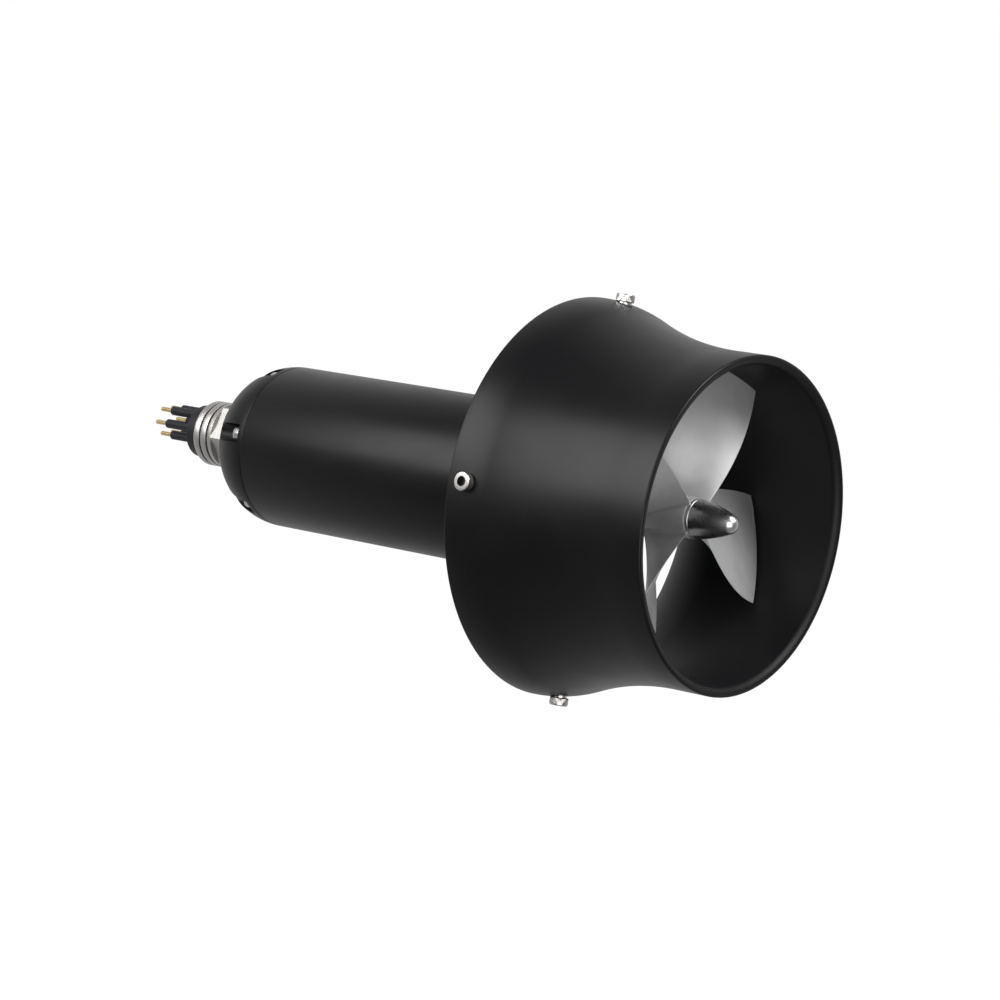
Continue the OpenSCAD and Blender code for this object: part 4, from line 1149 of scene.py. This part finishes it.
class THRUSTER_OT_nose(bpy.types.Operator):
    """Turns the nose cone and the washer under it"""

    bl_idname = "thruster.nose"
    bl_label = "Nose cone and washer"

    def execute(self, context):
        p = plan()
        e, ring = 0.25, p.hub_r - 0.05
        washer = turned(
            "nose_washer",
            [(p.hub_end, STUD_HOLE)]
            + arc(p.hub_end + e, ring - e, e, 180, 90, 5)
            + arc(p.washer_end - e, ring - e, e, 90, 0, 5)
            + [(p.washer_end, STUD_HOLE), (p.hub_end, STUD_HOLE)],
            steps=128,
        )
        place(washer, along(0))
        hand_over(washer, "rotor", "stainless", finish("satin_steel"), "prop_washer")

        base, lean = p.hub_r - 0.15, 6.8
        curve_s = p.washer_end - p.nose_curve * math.sin(math.radians(lean))
        curve_r = base - p.nose_curve * math.cos(math.radians(lean))
        reach = p.nose_curve - (p.nose_end - curve_s)
        step = (curve_r**2 - reach**2) / (2 * reach)
        tip = p.nose_end - curve_s - step
        meet = math.degrees(math.atan2(-curve_r, step))
        bottom = p.washer_end + 7.3
        cone = turned(
            "nose_body",
            [(p.washer_end, STUD_HOLE), (p.washer_end, base - 0.2)]
            + arc(curve_s, curve_r, p.nose_curve, 90 - lean - 0.25, meet, 40)
            + arc(curve_s + step, 0, tip, meet, 0, 22)[1:]
            + [(bottom, 0), (bottom, STUD_HOLE), (p.washer_end, STUD_HOLE)],
            steps=128,
        )
        reach, hole_r = 8, p.nose_hole_r
        outline = [(-reach, 0), (-reach, hole_r), (reach, hole_r), (reach, 0)]
        hole = turned("hole_tool", outline, steps=48)
        place(cone, along(0))
        place(hole, outward(p.nose_end - 3.8, 115))
        carve(cone, hole)
        hand_over(cone, "rotor", "stainless", finish("satin_steel"), "nose_cone")
        return {"FINISHED"}


class THRUSTER_OT_inner_pieces(bpy.types.Operator):
    """Gives the pieces inside the housing their finishes"""

    bl_idname = "thruster.inner_pieces"
    bl_label = "Inner pieces"

    def execute(self, context):
        slots = {part["node"]: part["material_slot"] for part in frame["record"]["subparts"]}
        for name, node in frame["nodes"].items():
            if not node.hide_render:
                node.data.materials.clear()
                node.data.materials.append(finish(slots[name]))
        return {"FINISHED"}


class THRUSTER_OT_stage(bpy.types.Operator):
    """Sets the floor, the light and the camera"""

    bl_idname = "thruster.stage"
    bl_label = "Floor, light and camera"

    def execute(self, context):
        scene = context.scene
        scene.view_settings.view_transform = "Standard"
        self.floor(scene)
        self.surroundings(scene)
        self.softbox("key_softbox", -21, 36.5, (1.3, 0.92), 17)
        self.softbox("side_softbox", 114, 44, (0.72, 1.05), 12)
        self.softbox("front_softbox", 54, 4, (1.3, 1.5), 11, shine_only=True)
        camera = bpy.data.objects.new("camera", bpy.data.cameras.new("camera"))
        scene.collection.objects.link(camera)
        camera.location = CAMERA_PLACE
        camera.rotation_euler = LOOK.to_track_quat("-Z", "Y").to_euler()
        camera.data.lens, camera.data.sensor_width = CAMERA_LENS, CAMERA_SENSOR
        camera.data.clip_start, camera.data.clip_end = 0.01, 50.0
        scene.camera = camera
        return {"FINISHED"}

    def softbox(self, name, azimuth, elevation, size, power, shine_only=False):
        """A soft rectangular lamp that faces the object and is never seen by the camera."""
        az, el = math.radians(azimuth), math.radians(elevation)
        where = Vector((math.sin(az), -math.cos(az), 0)) * math.cos(el) + Vector((0, 0, math.sin(el)))
        where *= LAMP_DISTANCE
        lamp = bpy.data.lights.new(name, "AREA")
        lamp.shape, lamp.size, lamp.size_y, lamp.energy = "RECTANGLE", size[0], size[1], power
        holder = bpy.data.objects.new(name, lamp)
        bpy.context.scene.collection.objects.link(holder)
        holder.location = where
        holder.rotation_euler = (-where).to_track_quat("-Z", "Y").to_euler()
        holder.visible_camera = False
        holder.visible_diffuse = not shine_only

    def ahead(self, tree, vector, start, end, low, high):
        """Value that rises from low to high along the way that the camera looks."""
        along_look = add(tree, "ShaderNodeVectorMath", operation="DOT_PRODUCT")
        tree.links.new(vector, along_look.inputs[0])
        along_look.inputs[1].default_value = LOOK
        rise = add(tree, "ShaderNodeMapRange", interpolation_type="SMOOTHSTEP")
        for key, value in (("From Min", start), ("From Max", end), ("To Min", low), ("To Max", high)):
            rise.inputs[key].default_value = value
        tree.links.new(along_look.outputs["Value"], rise.inputs["Value"])
        return rise.outputs["Result"]

    def floor(self, scene):
        clear_selection()
        bpy.ops.mesh.primitive_plane_add(size=FLOOR_SIZE, location=(0, 0, FLOOR_HEIGHT))
        floor = bpy.context.object
        floor.name = "floor"
        place(floor, floor.matrix_world.copy())
        mat, tree, shader, where = start_finish("pale_floor")
        marks = use(tree, handling_group(), where, Size=1.5)
        pale = tuple(scene.thruster_finishes.floor)
        tone = tint(tree, marks.outputs["Mask"], pale, shade(pale, 0.98))
        tree.links.new(tone, shader.inputs["Base Color"])
        shader.inputs["Roughness"].default_value = 0.9
        glow = add(tree, "ShaderNodeEmission")
        rays = add(tree, "ShaderNodeLightPath")
        spread = self.ahead(tree, where, -0.6, 0.9, 0.14, 0.58)
        camera, glossy = rays.outputs["Is Camera Ray"], rays.outputs["Is Glossy Ray"]
        level = math_node(tree, "MAXIMUM", math_node(tree, "MULTIPLY", camera, 1.08), spread)
        tree.links.new(level, glow.inputs["Strength"])
        seen = math_node(tree, "MAXIMUM", camera, glossy)
        lit = add(tree, "ShaderNodeMixShader")
        tree.links.new(math_node(tree, "MULTIPLY", seen, 0.92), lit.inputs[0])
        tree.links.new(shader.outputs[0], lit.inputs[1])
        tree.links.new(glow.outputs[0], lit.inputs[2])
        under = add(tree, "ShaderNodeMixShader")
        tree.links.new(add(tree, "ShaderNodeNewGeometry").outputs["Backfacing"], under.inputs[0])
        tree.links.new(lit.outputs[0], under.inputs[1])
        tree.links.new(add(tree, "ShaderNodeBsdfTransparent").outputs[0], under.inputs[2])
        tree.links.new(under.outputs[0], tree.nodes["Material Output"].inputs["Surface"])
        floor.data.materials.append(mat)

    def surroundings(self, scene):
        world = bpy.data.worlds.new("studio")
        scene.world = world
        world.use_nodes = True
        tree = world.node_tree
        plain = tree.nodes["Background"]
        plain.inputs["Color"].default_value = (1, 1, 1, 1)
        plain.inputs["Strength"].default_value = 0.05
        white = add(tree, "ShaderNodeBackground")
        white.inputs["Color"].default_value = (1, 1, 1, 1)
        rays = add(tree, "ShaderNodeLightPath")
        kinds = ("Is Camera Ray", "Is Glossy Ray", "Is Transmission Ray")
        camera, glossy, through = (rays.outputs[kind] for kind in kinds)
        where = add(tree, "ShaderNodeTexCoord").outputs["Generated"]
        spread = self.ahead(tree, where, -0.1, 0.9, 0.24, 0.68)
        tree.links.new(math_node(tree, "MAXIMUM", camera, spread), white.inputs["Strength"])
        seen = math_node(tree, "MAXIMUM", camera, math_node(tree, "MAXIMUM", glossy, through))
        both = add(tree, "ShaderNodeMixShader")
        tree.links.new(seen, both.inputs[0])
        tree.links.new(plain.outputs[0], both.inputs[1])
        tree.links.new(white.outputs[0], both.inputs[2])
        tree.links.new(both.outputs[0], tree.nodes["World Output"].inputs["Surface"])


class THRUSTER_PT_pieces(bpy.types.Panel):
    """Sizes, colours and pieces of the thruster"""

    bl_idname = "THRUSTER_PT_pieces"
    bl_label = "Thruster"
    bl_space_type = "VIEW_3D"
    bl_region_type = "UI"
    bl_category = "Thruster"

    def draw(self, context):
        column = self.layout.column()
        for step in PIECES:
            column.operator(step.bl_idname)
        for store in (context.scene.thruster_sizes, context.scene.thruster_finishes):
            column.separator()
            for key in store.bl_rna.properties.keys():
                if key not in {"rna_type", "name"}:
                    column.prop(store, key)


PIECES = (
    THRUSTER_OT_stage,
    THRUSTER_OT_housing,
    THRUSTER_OT_rear_cap,
    THRUSTER_OT_cap_screws,
    THRUSTER_OT_connector,
    THRUSTER_OT_front_end,
    THRUSTER_OT_duct,
    THRUSTER_OT_duct_screws,
    THRUSTER_OT_propeller,
    THRUSTER_OT_nose,
    THRUSTER_OT_inner_pieces,
)
CLASSES = (ThrusterSizes, ThrusterFinishes, *PIECES, THRUSTER_PT_pieces)


def register():
    for item in CLASSES:
        bpy.utils.register_class(item)
    bpy.types.Scene.thruster_sizes = PointerProperty(type=ThrusterSizes)
    bpy.types.Scene.thruster_finishes = PointerProperty(type=ThrusterFinishes)


def unregister():
    del bpy.types.Scene.thruster_finishes
    del bpy.types.Scene.thruster_sizes
    for item in reversed(CLASSES):
        bpy.utils.unregister_class(item)


def main():
    register()
    bpy.ops.thruster.stage()
    bpy.ops.thruster.housing()
    bpy.ops.thruster.rear_cap()
    bpy.ops.thruster.cap_screws()
    bpy.ops.thruster.connector()
    bpy.ops.thruster.front_end()
    bpy.ops.thruster.duct()
    bpy.ops.thruster.duct_screws()
    bpy.ops.thruster.propeller()
    bpy.ops.thruster.nose()
    bpy.ops.thruster.inner_pieces()


if __name__ == "__main__":
    main()
